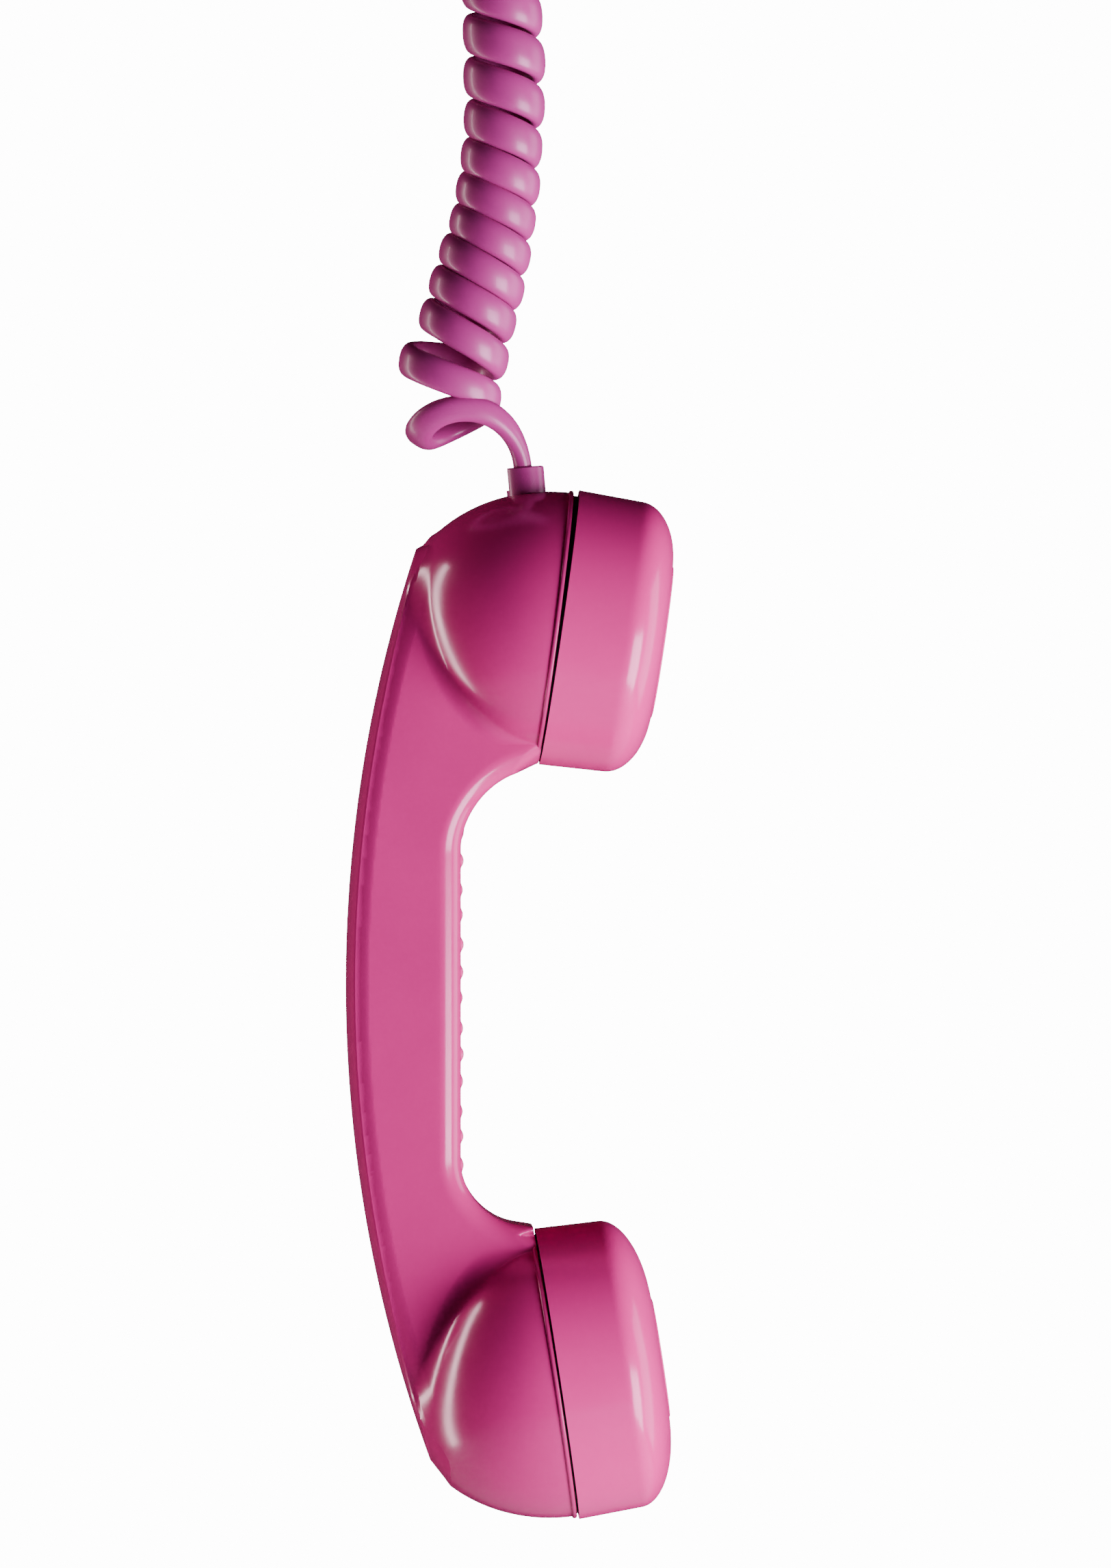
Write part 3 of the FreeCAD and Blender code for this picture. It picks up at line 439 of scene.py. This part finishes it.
def evenly(line, step):
    """The line's points, resampled an even step apart."""
    reach = distances(line)
    marks = np.linspace(0.0, reach[-1], max(int(round(reach[-1] / step)), 2) + 1)
    return read_at(marks, reach, line)


def handset_height_mm(points):
    """Each point's height in the handset frame, in mm."""
    return points[:, 2] / MM - HANDSET_ORIGIN_MM[2]


def turn_angles(line, height_mm):
    """The strand's angle about the coil's middle line, 0 on the right, and its last whole turn."""
    pitch = MM * (PITCH_MM + MORE_PITCH_ABOVE_MM * smooth_step(height_mm, 172.0, 203.0)
                  + MORE_PITCH_BELOW_MM * smooth_step(-height_mm, -152.0, -140.0))
    step = np.linalg.norm(line[1] - line[0])
    angle = np.cumsum(2 * math.pi * step / pitch)
    angle -= np.interp(-FIRST_RIGHT_HEIGHT_MM, -height_mm, angle)
    last = angle[np.argmin(np.abs(height_mm - COIL_END_HEIGHT_MM))]
    return angle, 2 * math.pi * round(last / (2 * math.pi))


def coil_turns():
    """The strand's centreline through the coil, top to bottom, and the coil's axis beside it."""
    line = evenly(along_route("coil_route", COIL_ROUTE_MM), ROUTE_STEP)
    height_mm = handset_height_mm(line)
    angle, last_angle = turn_angles(line, height_mm)
    keep = angle <= last_angle
    line, angle, height_mm = line[keep], angle[keep], height_mm[keep]
    axis = unit(np.gradient(line, axis=0))
    towards_back = np.array([0.0, 1.0, 0.0])
    right = unit(np.cross(towards_back, -axis))
    uneven = 0.00012 * np.sin(angle * 0.37 + 0.8) + 0.0001 * np.sin(angle * 0.83)
    more = MORE_RADIUS_BELOW * smooth_step(-height_mm, -185.0, -143.0)
    growing = smooth_step(angle, angle[0], angle[0] + 1.3 * math.pi)
    radius = (COIL_RADIUS + more + uneven) * growing
    across = radius * np.cos(angle)
    turns = line + across[:, None] * right + (radius * np.sin(angle))[:, None] * towards_back
    turns += (TURN_LEAN * across)[:, None] * axis
    slip = (angle - (last_angle - 0.9 * math.pi)) / (0.75 * math.pi)
    slip = 0.5 + 0.5 * np.cos(math.pi * np.clip(slip, -1.0, 1.0))
    turns += slip[:, None] * LAST_TURN_SLIP
    return turns, axis


def strand_section(count=28, power=2.3):
    """A flat oval of unit width and thickness, wide along its first axis."""
    corners = []
    for k in range(count):
        angle = 2 * math.pi * k / count
        c, s = math.cos(angle), math.sin(angle)
        wide = math.copysign(abs(c) ** (2 / power), c) / 2
        thick = math.copysign(abs(s) ** (2 / power), s) / 2
        corners.append((wide, thick))
    return corners


def strand_tube(name, path, wide_axis, widths, material):
    """A tube of the strand's section along a path, as wide as widths say along wide_axis."""
    tangent = unit(np.gradient(path, axis=0))
    wide = unit(wide_axis - np.sum(wide_axis * tangent, axis=1, keepdims=True) * tangent)
    thin = np.cross(tangent, wide) * STRAND_THICKNESS
    wide = wide * widths[:, None]
    section = strand_section()
    count = len(section)
    rings = [path + w * wide + t * thin for w, t in section]
    vertices = np.stack(rings, axis=1).reshape(-1, 3)
    faces = []
    for row in range(len(path) - 1):
        here, there = row * count, (row + 1) * count
        for k in range(count):
            after = (k + 1) % count
            faces.append((here + k, there + k, there + after, here + after))
    faces.append(tuple(reversed(range(count))))
    last = (len(path) - 1) * count
    faces.append(tuple(last + k for k in range(count)))
    return new_mesh_object(name, vertices, faces, material)


def carried_axis(path, start, twist):
    """A direction carried along the path without turning about it, then twisted by the angles."""
    tangent = unit(np.gradient(path, axis=0))
    carried = [start]
    for before, here in zip(tangent, tangent[1:]):
        turn = np.cross(before, here)
        size = np.linalg.norm(turn)
        direction = carried[-1]
        if size > 1e-9:
            rotation = Matrix.Rotation(math.asin(min(size, 1.0)), 3, Vector(turn / size))
            direction = np.array(rotation @ Vector(direction))
        carried.append(direction)
    carried = np.array(carried)
    carried = unit(carried - np.sum(carried * tangent, axis=1, keepdims=True) * tangent)
    side = np.cross(tangent, carried)
    return np.cos(twist)[:, None] * carried + np.sin(twist)[:, None] * side


def soften(rows, rounds=6):
    """Evens out small kinks where the runs of the cord join, in place."""
    for _ in range(rounds):
        rows[1:-1] = (rows[:-2] + 2 * rows[1:-1] + rows[2:]) / 4


def cord_centreline():
    """The cord from plug to collar, its wide direction, and the point where the free strand starts."""
    lead_in = along_route("lead_in_route", LEAD_IN_MM)
    turns, axis = coil_turns()
    free = along_route("free_route", FREE_STRAND_MM)
    line = np.concatenate([lead_in[:-1], turns[::10], free])
    axes = np.concatenate([np.tile([0.0, 1.0, 0.0], (len(lead_in) - 1, 1)), axis[::10],
                           np.tile(axis[-1], (len(free), 1))])
    gaps = np.linalg.norm(np.diff(line, axis=0), axis=1)
    keep = np.concatenate([[True], gaps > 1e-6])
    line, axes = line[keep], axes[keep]
    reach = distances(line)
    marks = np.linspace(0.0, reach[-1], int(reach[-1] / STRAND_STEP))
    path = read_at(marks, reach, line)
    wide = read_at(marks, reach, axes)
    soften(path)
    soften(wide)
    return path, wide, int(np.searchsorted(marks, reach[-1] - distances(free)[-1]))


def curly_cord(material):
    """The whole cord: its run into the plug, its coil, and its free strand into the collar."""
    path, wide, first = cord_centreline()
    share = np.linspace(0.0, 1.0, len(path) - first)
    twist = smooth_step(share, 0.45, 0.85) * math.radians(FREE_TWIST_DEG)
    tangent = unit(np.gradient(path, axis=0))[first]
    start = wide[first] - np.dot(wide[first], tangent) * tangent
    wide[first:] = carried_axis(path[first:], start / np.linalg.norm(start), twist)
    height_mm = handset_height_mm(path)
    widths = STRAND_WIDTH + WIDER_ABOVE * smooth_step(height_mm, 165.0, 205.0)
    widths -= NARROWER_AT_PLUG * smooth_step(height_mm, 231.0, 236.5)
    widths[first:] -= NARROWER_WHEN_FREE * smooth_step(share, 0.1, 0.7)
    cord = strand_tube("curly_cord", path, wide, widths, material)
    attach(cord, "handset")
    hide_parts("cord_tail", "cord_coil", "cord_lead_in")


# ---- handset shell ----

# Handset frame, mm. The grip's back is a crowned arc; the gap for the fingers is a rounded notch
# whose two ends run on to the cups' rims; each cup is half an ellipsoid behind its rim.
BACK_RADIUS = 300.0
BACK_CENTRE = (271.05, 4.0)
CROWN_RADIUS = 50.0
HALF_WIDTH = 14.0
FRONT_X = -4.1
FRONT_ROUND = 5.0
TOP_WEB = {"through": (5.54, 49.06), "slope_deg": 15.0, "round": 13.0}
BOTTOM_WEB = {"through": (6.45, -47.55), "slope_deg": -9.0, "round": 11.8}
# The back draws in to a tip at each end; a smaller power keeps it wide for longer.
TIP_TOP = 99.0
TIP_BOTTOM = -97.5
TIP_POWER_TOP = 0.36
TIP_POWER_BOTTOM = 0.5
BAR_END = 100.0
RIB_COUNT = 13
RIB_FIRST = -35.0
RIB_PITCH = 5.98
RIB_RADIUS = 1.94
RIB_RISE = 0.65
RIB_REACH = 3.0
EDGE_BEVEL = 0.28
TIP_BEVEL = 1.8
# Where the rim's centre is, how the rim is tilted, and how big the bowl behind it is. The seam is the
# rim's setback behind the cap, the slant its extra tilt, the neck the radius that the cap screws on,
# the blend the roundness where bowl meets grip, and the drift how far the bowl draws outward.
CUPS = {
    "mouth": {"x": 17.4, "z": 81.4, "tilt": 8.3, "radius": 29.3, "depth": 34.6, "rim": 29.75,
              "seam": 0.75, "slant": -0.85, "neck": 25.4, "blend": 2.5, "drift": 6.0},
    "ear": {"x": 16.9, "z": -80.6, "tilt": -8.7, "radius": 31.1, "depth": 34.8, "rim": 31.55,
            "seam": 0.45, "slant": 0.0, "neck": 26.8, "blend": 3.5, "drift": 11.0},
}
NECK_WALL = 2.0
# The net's lines along x, half of y, and z: from, to, and (up to, step) pairs in rising order.
NET_X = (-31.5, 21.5, [(-10.0, 0.5), (-6.0, 0.7), (-2.4, 0.4), (30.0, 0.7)])
NET_HALF_Y = (0.0, 33.0, [(9.0, 0.7), (14.5, 0.45), (40.0, 0.7)])
NET_Z = (-114.0, 112.5, [(-38.5, 0.7), (38.5, 0.45), (120.0, 0.7)])
EDGE_REACH = 0.45


def round_union(a, b, radius):
    """Both shapes together, with a fillet of the given radius."""
    near = np.hypot(np.maximum(radius - a, 0.0), np.maximum(radius - b, 0.0))
    return np.maximum(radius, np.minimum(a, b)) - near


def round_overlap(a, b, radius):
    """What both shapes share, with its edge rounded to the given radius."""
    near = np.hypot(np.maximum(radius + a, 0.0), np.maximum(radius + b, 0.0))
    return np.minimum(-radius, np.maximum(a, b)) + near


def cup_place(cup, x, z, slant):
    """How far a point is in front of a cup's rim plane, and how far up along that plane."""
    angle = math.radians(cup["tilt"] + slant)
    ahead = (x - cup["x"]) * math.cos(angle) - (z - cup["z"]) * math.sin(angle)
    aside = (x - cup["x"]) * math.sin(angle) + (z - cup["z"]) * math.cos(angle)
    return ahead, aside


def in_cup(cup, x, y, z, slant=0.0):
    """How far a point is in front of a cup's rim plane, and how far from its axis."""
    ahead, aside = cup_place(cup, x, z, slant)
    return ahead, np.hypot(aside, y)


def ellipsoid(ahead, out, depth, radius):
    """About the distance to a spheroid, negative inside it."""
    near = np.hypot(out / radius, ahead / depth)
    slope = np.hypot(out / radius ** 2, ahead / depth ** 2)
    return near * (near - 1.0) / np.maximum(slope, 1e-9)


def bowl(cup, ahead, x, y, z):
    """Half an ellipsoid behind a rim; its deep part draws in towards the handset's own end."""
    aside = cup_place(cup, x, z, cup["slant"])[1]
    drift = cup["drift"] * np.clip(-ahead / cup["depth"], 0.0, 1.0) ** 3
    out = np.hypot(aside - math.copysign(1.0, cup["z"]) * drift, y) + drift
    return ellipsoid(ahead, out, cup["depth"], cup["radius"])


def beyond_web(web, x, z, side):
    """How far a point is past the sloping end of the finger gap, towards a cup."""
    slope = math.radians(web["slope_deg"])
    px, pz = web["through"]
    return side * (-(x - px) * math.sin(slope) + (z - pz) * math.cos(slope))


def finger_gap(x, z):
    """The notch between the cups: negative in the open space."""
    upper = round_overlap(FRONT_X - x, beyond_web(TOP_WEB, x, z, 1), TOP_WEB["round"])
    return round_overlap(upper, beyond_web(BOTTOM_WEB, x, z, -1), BOTTOM_WEB["round"])


def half_width(x, z):
    """The grip's half width: full in the middle, drawn in like a bow along its back at both ends."""
    full_depth, filled_share = 16.0, 0.55
    back_start, back_depth, back_taper = 2.0, 3.0, 1.1
    from_back = BACK_RADIUS - np.hypot(x - BACK_CENTRE[0], z - BACK_CENTRE[1])
    above = np.maximum(z, 0.0) / TIP_TOP
    below = np.maximum(-z, 0.0) / -TIP_BOTTOM
    top = np.maximum(1.0 - above ** 4, 0.0) ** TIP_POWER_TOP
    bottom = np.maximum(1.0 - below ** 4, 0.0) ** TIP_POWER_BOTTOM
    bow = np.where(z > 0, top, bottom)
    depth = np.clip(from_back / full_depth, 0.0, 1.0)
    filled = 1.0 - (1.0 - depth) ** 2
    width = HALF_WIDTH * (bow + (1.0 - bow) * filled_share * filled)
    near_back = np.clip(1.0 - (from_back - back_start) / back_depth, 0.0, 1.0)
    return width - back_taper * bow * near_back ** 1.5


def grip(x, y, z):
    """The bar that is held, with its finger ribs on the front, each a little unlike the next."""
    side = np.abs(y) - half_width(x, z)
    front = -finger_gap(x, z)
    for number in range(RIB_COUNT):
        height = RIB_FIRST + number * RIB_PITCH + 0.35 * math.sin(2.3 * number)
        rise = RIB_RISE * (0.85 + 0.2 * math.sin(1.7 * number + 1.0))
        rib = np.hypot(x - (FRONT_X + rise - RIB_RADIUS), z - height) - RIB_RADIUS
        rib_end = np.abs(y) - (HALF_WIDTH - FRONT_ROUND)
        rib = round_overlap(rib, rib_end, 0.5)
        near = np.abs(z - height) < RIB_REACH
        front = np.where(near, round_union(front, rib, 0.35), front)
    return round_overlap(side, front, FRONT_ROUND)


def cup_and_grip(cup, bar, x, y, z):
    """One cup, run into the grip; the grip narrows to the cup's own width where it meets the rim."""
    ahead, out = in_cup(cup, x, y, z, cup["slant"])
    ahead = ahead + cup["seam"]
    depth = np.maximum(-ahead, 0.0)
    flare = (out - (cup["radius"] + 0.7 + 0.8 * depth + 5.0 * (depth / 8.0) ** 3)) * 0.78
    flare = flare - 2.0 * np.maximum(50.0 - np.abs(z), 0.0)
    bar = round_overlap(bar, flare, 1.5)
    dome = np.where(ahead < 0, bowl(cup, ahead, x, y, z), out - cup["radius"])
    blend = 0.4 + cup["blend"] * smooth_step(-ahead, 0.5, 14.0)
    return round_union(bar, dome, blend)


def shell_body(x, y, z):
    """The outside of the handset, before its back, rims and hollow are cut."""
    bar = round_overlap(grip(x, y, z), np.abs(z) - BAR_END, 3.0)
    upper = cup_and_grip(CUPS["mouth"], bar, x, y, z)
    lower = cup_and_grip(CUPS["ear"], bar, x, y, z)
    return np.where(z > 0, upper, lower)


def crowned_back(x, y, z):
    """The long arc of the back, rounded a little from side to side."""
    arc = np.hypot(x - BACK_CENTRE[0], z - BACK_CENTRE[1])
    crown = np.sqrt(np.maximum(CROWN_RADIUS ** 2 - y ** 2, 1.0))
    return arc - (BACK_RADIUS - CROWN_RADIUS) - crown


def rim_faces(x, y, z):
    """How far a point is in front of its own cup's rim."""
    upper, lower = CUPS["mouth"], CUPS["ear"]
    mouth = in_cup(upper, x, y, z, upper["slant"])[0] + upper["seam"]
    ear = in_cup(lower, x, y, z, lower["slant"])[0] + lower["seam"]
    return np.where(z > 0, mouth, ear)


def hollow(x, y, z):
    """The room inside for the capsules and the leads, as a negative of the skin."""
    channel_half, channel_front, channel_end, back_wall = 8.0, 7.6, 75.0, 4.0
    side_wall, deep_wall, skin, bore_depth = 3.2, 8.4, 3.0, 6.0
    elsewhere = 50.0
    back = BACK_RADIUS - back_wall - np.hypot(x - BACK_CENTRE[0], z - BACK_CENTRE[1])
    room = np.maximum.reduce([np.abs(y) - channel_half, x + channel_front, -back,
                              np.abs(z) - channel_end])
    for cup in CUPS.values():
        ahead, out = in_cup(cup, x, y, z)
        ahead = ahead + cup["seam"] + skin
        inner = cup["radius"] - side_wall
        cavity = np.where(ahead < 0, ellipsoid(ahead, out, cup["depth"] - deep_wall, inner),
                          out - inner)
        cavity = np.maximum.reduce([cavity, ahead, bowl(cup, ahead - skin, x, y, z) + skin])
        bore = np.maximum(out - (cup["neck"] - NECK_WALL), np.abs(ahead) - bore_depth)
        own = np.where((z > 0) == (cup["z"] > 0), np.minimum(cavity, bore), elsewhere)
        room = np.minimum(room, own)
    return -room


def shell_fields(x, y, z):
    """Body, crowned back, the bevel between them, rims and hollow; the shell is where all are negative.

    The bevel is narrow, and wider round the two tips.
    """
    body, back = shell_body(x, y, z), crowned_back(x, y, z)
    bevel = EDGE_BEVEL + TIP_BEVEL * smooth_step(np.abs(z), 90.0, 100.0)
    return [body, back, (body + back + bevel) / 1.86, rim_faces(x, y, z), hollow(x, y, z)]


def steps(low, high, spacing):
    """Lines from low to high, each the step past the one before that its place asks for."""
    lines = [low]
    while lines[-1] < high:
        lines.append(lines[-1] + next(step for limit, step in spacing if lines[-1] < limit))
    return np.array(lines)


def values_and_slopes(points, reach=0.004):
    """Every field at each point, and every field's gradient there."""
    values = np.stack(shell_fields(*points.T), axis=1)
    columns = []
    for axis in range(3):
        step = np.zeros(3)
        step[axis] = reach
        columns.append((np.stack(shell_fields(*(points + step).T), axis=1) - values) / reach)
    return values, np.stack(columns, axis=2)


def grid_values(axes):
    """The largest field on a grid that is symmetric in y, worked out for one half of it."""
    middle = len(axes[1]) // 2
    grid = np.meshgrid(axes[0], axes[1][middle:], axes[2], indexing="ij")
    half = np.maximum.reduce(shell_fields(*grid))
    return np.concatenate([half[:, :0:-1], half], axis=1)


def crossings(value, axes, axis):
    """Where the grid's edges along one axis cross the surface.

    Gives the corner that each edge starts from, the place of the crossing, and whether its quad has to
    be turned over to face outwards. Edges on the grid's own border are left out.
    """
    first, second = [slice(None)] * 3, [slice(None)] * 3
    first[axis], second[axis] = slice(0, -1), slice(1, None)
    near, far = value[tuple(first)], value[tuple(second)]
    corner = np.argwhere((near < 0) != (far < 0))
    low, high = near[tuple(corner.T)], far[tuple(corner.T)]
    place = np.stack([axes[k][corner[:, k]] for k in range(3)], axis=1)
    gap = axes[axis][corner[:, axis] + 1] - axes[axis][corner[:, axis]]
    place[:, axis] += low / (low - high) * gap
    within = [(corner[:, k] > 0) & (corner[:, k] < len(axes[k]) - 1) for k in range(3) if k != axis]
    whole = np.all(within, axis=0)
    leaving = low[whole] < 0
    return corner[whole], place[whole], leaving if axis == 1 else ~leaving


def surface_net(value, axes):
    """Quads where the value is zero, one vertex for each grid cell that it crosses."""
    shape = tuple(len(axis) - 1 for axis in axes)
    total = np.zeros(shape + (3,))
    count = np.zeros(shape)
    found = []
    for axis in range(3):
        corner, place, flip = crossings(value, axes, axis)
        others = [k for k in range(3) if k != axis]
        cells = []
        for a, b in ((0, 0), (1, 0), (1, 1), (0, 1)):
            cell = corner.copy()
            cell[:, others[0]] -= a
            cell[:, others[1]] -= b
            cells.append(tuple(cell.T))
            np.add.at(total, cells[-1], place)
            np.add.at(count, cells[-1], 1)
        found.append((cells, flip))
    used = count > 0
    number = np.full(shape, -1)
    number[used] = np.arange(used.sum())
    vertices = total[used] / count[used][:, None]
    faces = []
    for cells, flip in found:
        quad = np.stack([number[cell] for cell in cells], axis=1)
        faces.append(np.where(flip[:, None], quad[:, ::-1], quad))
    return vertices, np.concatenate(faces)


def pull_onto(points):
    """Moves each point onto the surface, or onto the edge where two of the fields meet near it."""
    longest_move = 0.6
    index = np.arange(len(points))
    for _ in range(4):
        values, gradients = values_and_slopes(points)
        order = np.argsort(-values, axis=1)
        best, second = order[:, 0], order[:, 1]
        g1, g2 = gradients[index, best], gradients[index, second]
        f1, f2 = values[index, best], values[index, second]
        a = (g1 * g1).sum(1)
        b = (g1 * g2).sum(1)
        c = (g2 * g2).sum(1)
        determinant = a * c - b * b
        both_near = (np.abs(f2) < EDGE_REACH) & (np.abs(f1) < EDGE_REACH)
        on_edge = both_near & (determinant > 0.08 * a * c)
        single = -(f1 / np.maximum(a, 1e-9))[:, None] * g1
        safe = np.where(np.abs(determinant) > 1e-9, determinant, 1.0)
        l1 = (c * f1 - b * f2) / safe
        l2 = (a * f2 - b * f1) / safe
        double = -(l1[:, None] * g1 + l2[:, None] * g2)
        move = np.where(on_edge[:, None], double, single)
        size = np.linalg.norm(move, axis=1, keepdims=True)
        points = points + move * np.minimum(1.0, longest_move / np.maximum(size, 1e-9))
    return points


def set_face_normals(thing, points, faces):
    """Gives each face's corners the exact normal of the field that the face lies on."""
    middles = points[faces].mean(axis=1)
    owner = np.argmax(np.stack(shell_fields(*middles.T), axis=1), axis=1)
    normals = unit(values_and_slopes(points)[1])[faces, owner[:, None]]
    thing.data.normals_split_custom_set([tuple(n) for n in normals.reshape(-1, 3)])


def handset_shell(material):
    """The one-piece shell: a net over its fields, pulled onto their surfaces and edges."""
    half = steps(*NET_HALF_Y)
    axes = [steps(*NET_X), np.concatenate([-half[:0:-1], half]), steps(*NET_Z)]
    points, faces = surface_net(grid_values(axes), axes)
    points = pull_onto(points)
    shell = new_mesh_object("shell", to_world(points), faces, material)
    set_face_normals(shell, points, faces)
    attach(shell, "handset")
    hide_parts("handset_shell")


# ---- threaded necks ----

# The thread's pitch, number of turns, depth and start above the rim plane, mm.
THREAD_PITCH = 3.0
THREAD_TURNS = 1.75
THREAD_RISE = 1.0
THREAD_START = 1.6
THREAD_STEPS_A_TURN = 160
TURNED_STEPS = 200


def cup_frame(cup, slant=0.0):
    """A cup's centre, its axis, and the direction up along its rim."""
    angle = math.radians(cup["tilt"] + slant)
    axis = np.array([math.cos(angle), 0.0, -math.sin(angle)])
    aside = np.array([math.sin(angle), 0.0, math.cos(angle)])
    return np.array([cup["x"], 0.0, cup["z"]]), axis, aside


def turned_mesh(name, outline, material, end, slant=0.0):
    """A ring turned about a cup's axis from a closed outline of (radius, height) in mm."""
    centre, axis, aside = cup_frame(CUPS[end], slant)
    vertices, faces = [], []
    for k in range(TURNED_STEPS):
        turn = 2 * math.pi * k / TURNED_STEPS
        out = math.cos(turn) * aside + math.sin(turn) * np.array([0.0, 1.0, 0.0])
        vertices += [centre + radius * out + height * axis for radius, height in outline]
    size = len(outline)
    for k in range(TURNED_STEPS):
        here, there = k * size, ((k + 1) % TURNED_STEPS) * size
        for j in range(size):
            after = (j + 1) % size
            faces.append((here + j, here + after, there + after, there + j))
    return new_mesh_object(name, to_world(vertices), faces, material)


def neck_outline(cup):
    """The neck's wall and the shoulder at its root, behind the cap's rim."""
    outer, inner, shoulder = cup["neck"], cup["neck"] - NECK_WALL, cup["radius"] - 2.0
    return [(inner, -3.0), (shoulder, -3.0), (shoulder, -0.06), (outer, -0.06), (outer, 8.6),
            (outer - 0.4, 9.0), (inner + 0.3, 9.0), (inner, 8.7)]


def painted_seam_shade_outline(cup):
    """A black ring at the bottom of the seam between a cup and its cap: painted shade for the seam's
    dark depth.
    """
    outer, inner = cup["radius"] - 0.55, cup["radius"] - 2.2
    return [(inner, -2.0), (outer, -2.0), (outer, -0.12), (outer - 0.06, -0.06), (inner, -0.06)]


def lip_outline(cup):
    """The fine raised line round the cup's rim."""
    low, high = -cup["seam"] - 1.0, -cup["seam"] + 0.01
    root, top = cup["radius"] - 1.0, cup["rim"]
    return [(root, low), (top - 0.35, low), (top - 0.1, low + 0.12), (top, low + 0.4),
            (top, high - 0.3), (top - 0.1, high - 0.08), (top - 0.3, high), (root, high)]


def thread_mesh(name, cup, material):
    """The helical ridge round a neck."""
    centre, axis, aside = cup_frame(cup)
    first = -aside
    side = np.cross(axis, first)
    count = int(THREAD_STEPS_A_TURN * THREAD_TURNS)
    flank = 0.55 * THREAD_RISE
    profile = [(-0.3, -0.6), (flank, -0.46), (THREAD_RISE, -0.3), (THREAD_RISE, 0.3),
               (flank, 0.46), (-0.3, 0.6)]
    vertices, faces = [], []
    for k in range(count + 1):
        turn = 2 * math.pi * THREAD_TURNS * k / count
        out = math.cos(turn) * first + math.sin(turn) * side
        height = THREAD_START + THREAD_PITCH * THREAD_TURNS * k / count
        vertices += [centre + (cup["neck"] + reach) * out + (height + up) * axis
                     for reach, up in profile]
    size = len(profile)
    for k in range(count):
        here, there = k * size, (k + 1) * size
        for j in range(size):
            after = (j + 1) % size
            faces.append((here + j, here + after, there + after, there + j))
    faces.append(tuple(reversed(range(size))))
    faces.append(tuple(count * size + j for j in range(size)))
    return new_mesh_object(name, to_world(vertices), faces, material, smooth=False)


def necks(material, dark):
    """At each cup: the black ring of painted shade in the seam, the threaded neck, and the rim's lip.
    """
    for end, cup in CUPS.items():
        # Painted shade: a black ring where the seam between cup and cap is dark.
        ring = turned_mesh(end + "_painted_seam_shade", painted_seam_shade_outline(cup), dark, end)
        ring.data.set_sharp_from_angle(angle=math.radians(40))
        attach(ring, "handset")
        neck = turned_mesh(end + "_neck", neck_outline(cup), material, end)
        neck.data.set_sharp_from_angle(angle=math.radians(30))
        lip = turned_mesh(end + "_rim_lip", lip_outline(cup), material, end, cup["slant"])
        lip.data.set_sharp_from_angle(angle=math.radians(50))
        ridge = thread_mesh(end + "_neck_thread", cup, material)
        for thing in (neck, lip, ridge):
            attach(thing, "handset")


add_camera()
materials = make_materials()
curly_cord(materials["pink_vinyl"])
add_world()
for lamp in LAMPS:
    add_softbox(*lamp)
add_floor()
paint_cad_nodes(materials)
handset_shell(materials["pink_plastic"])
# The seam rings use the gasket rubber's black as painted shade.
necks(materials["pink_plastic"], materials["gasket_rubber"])
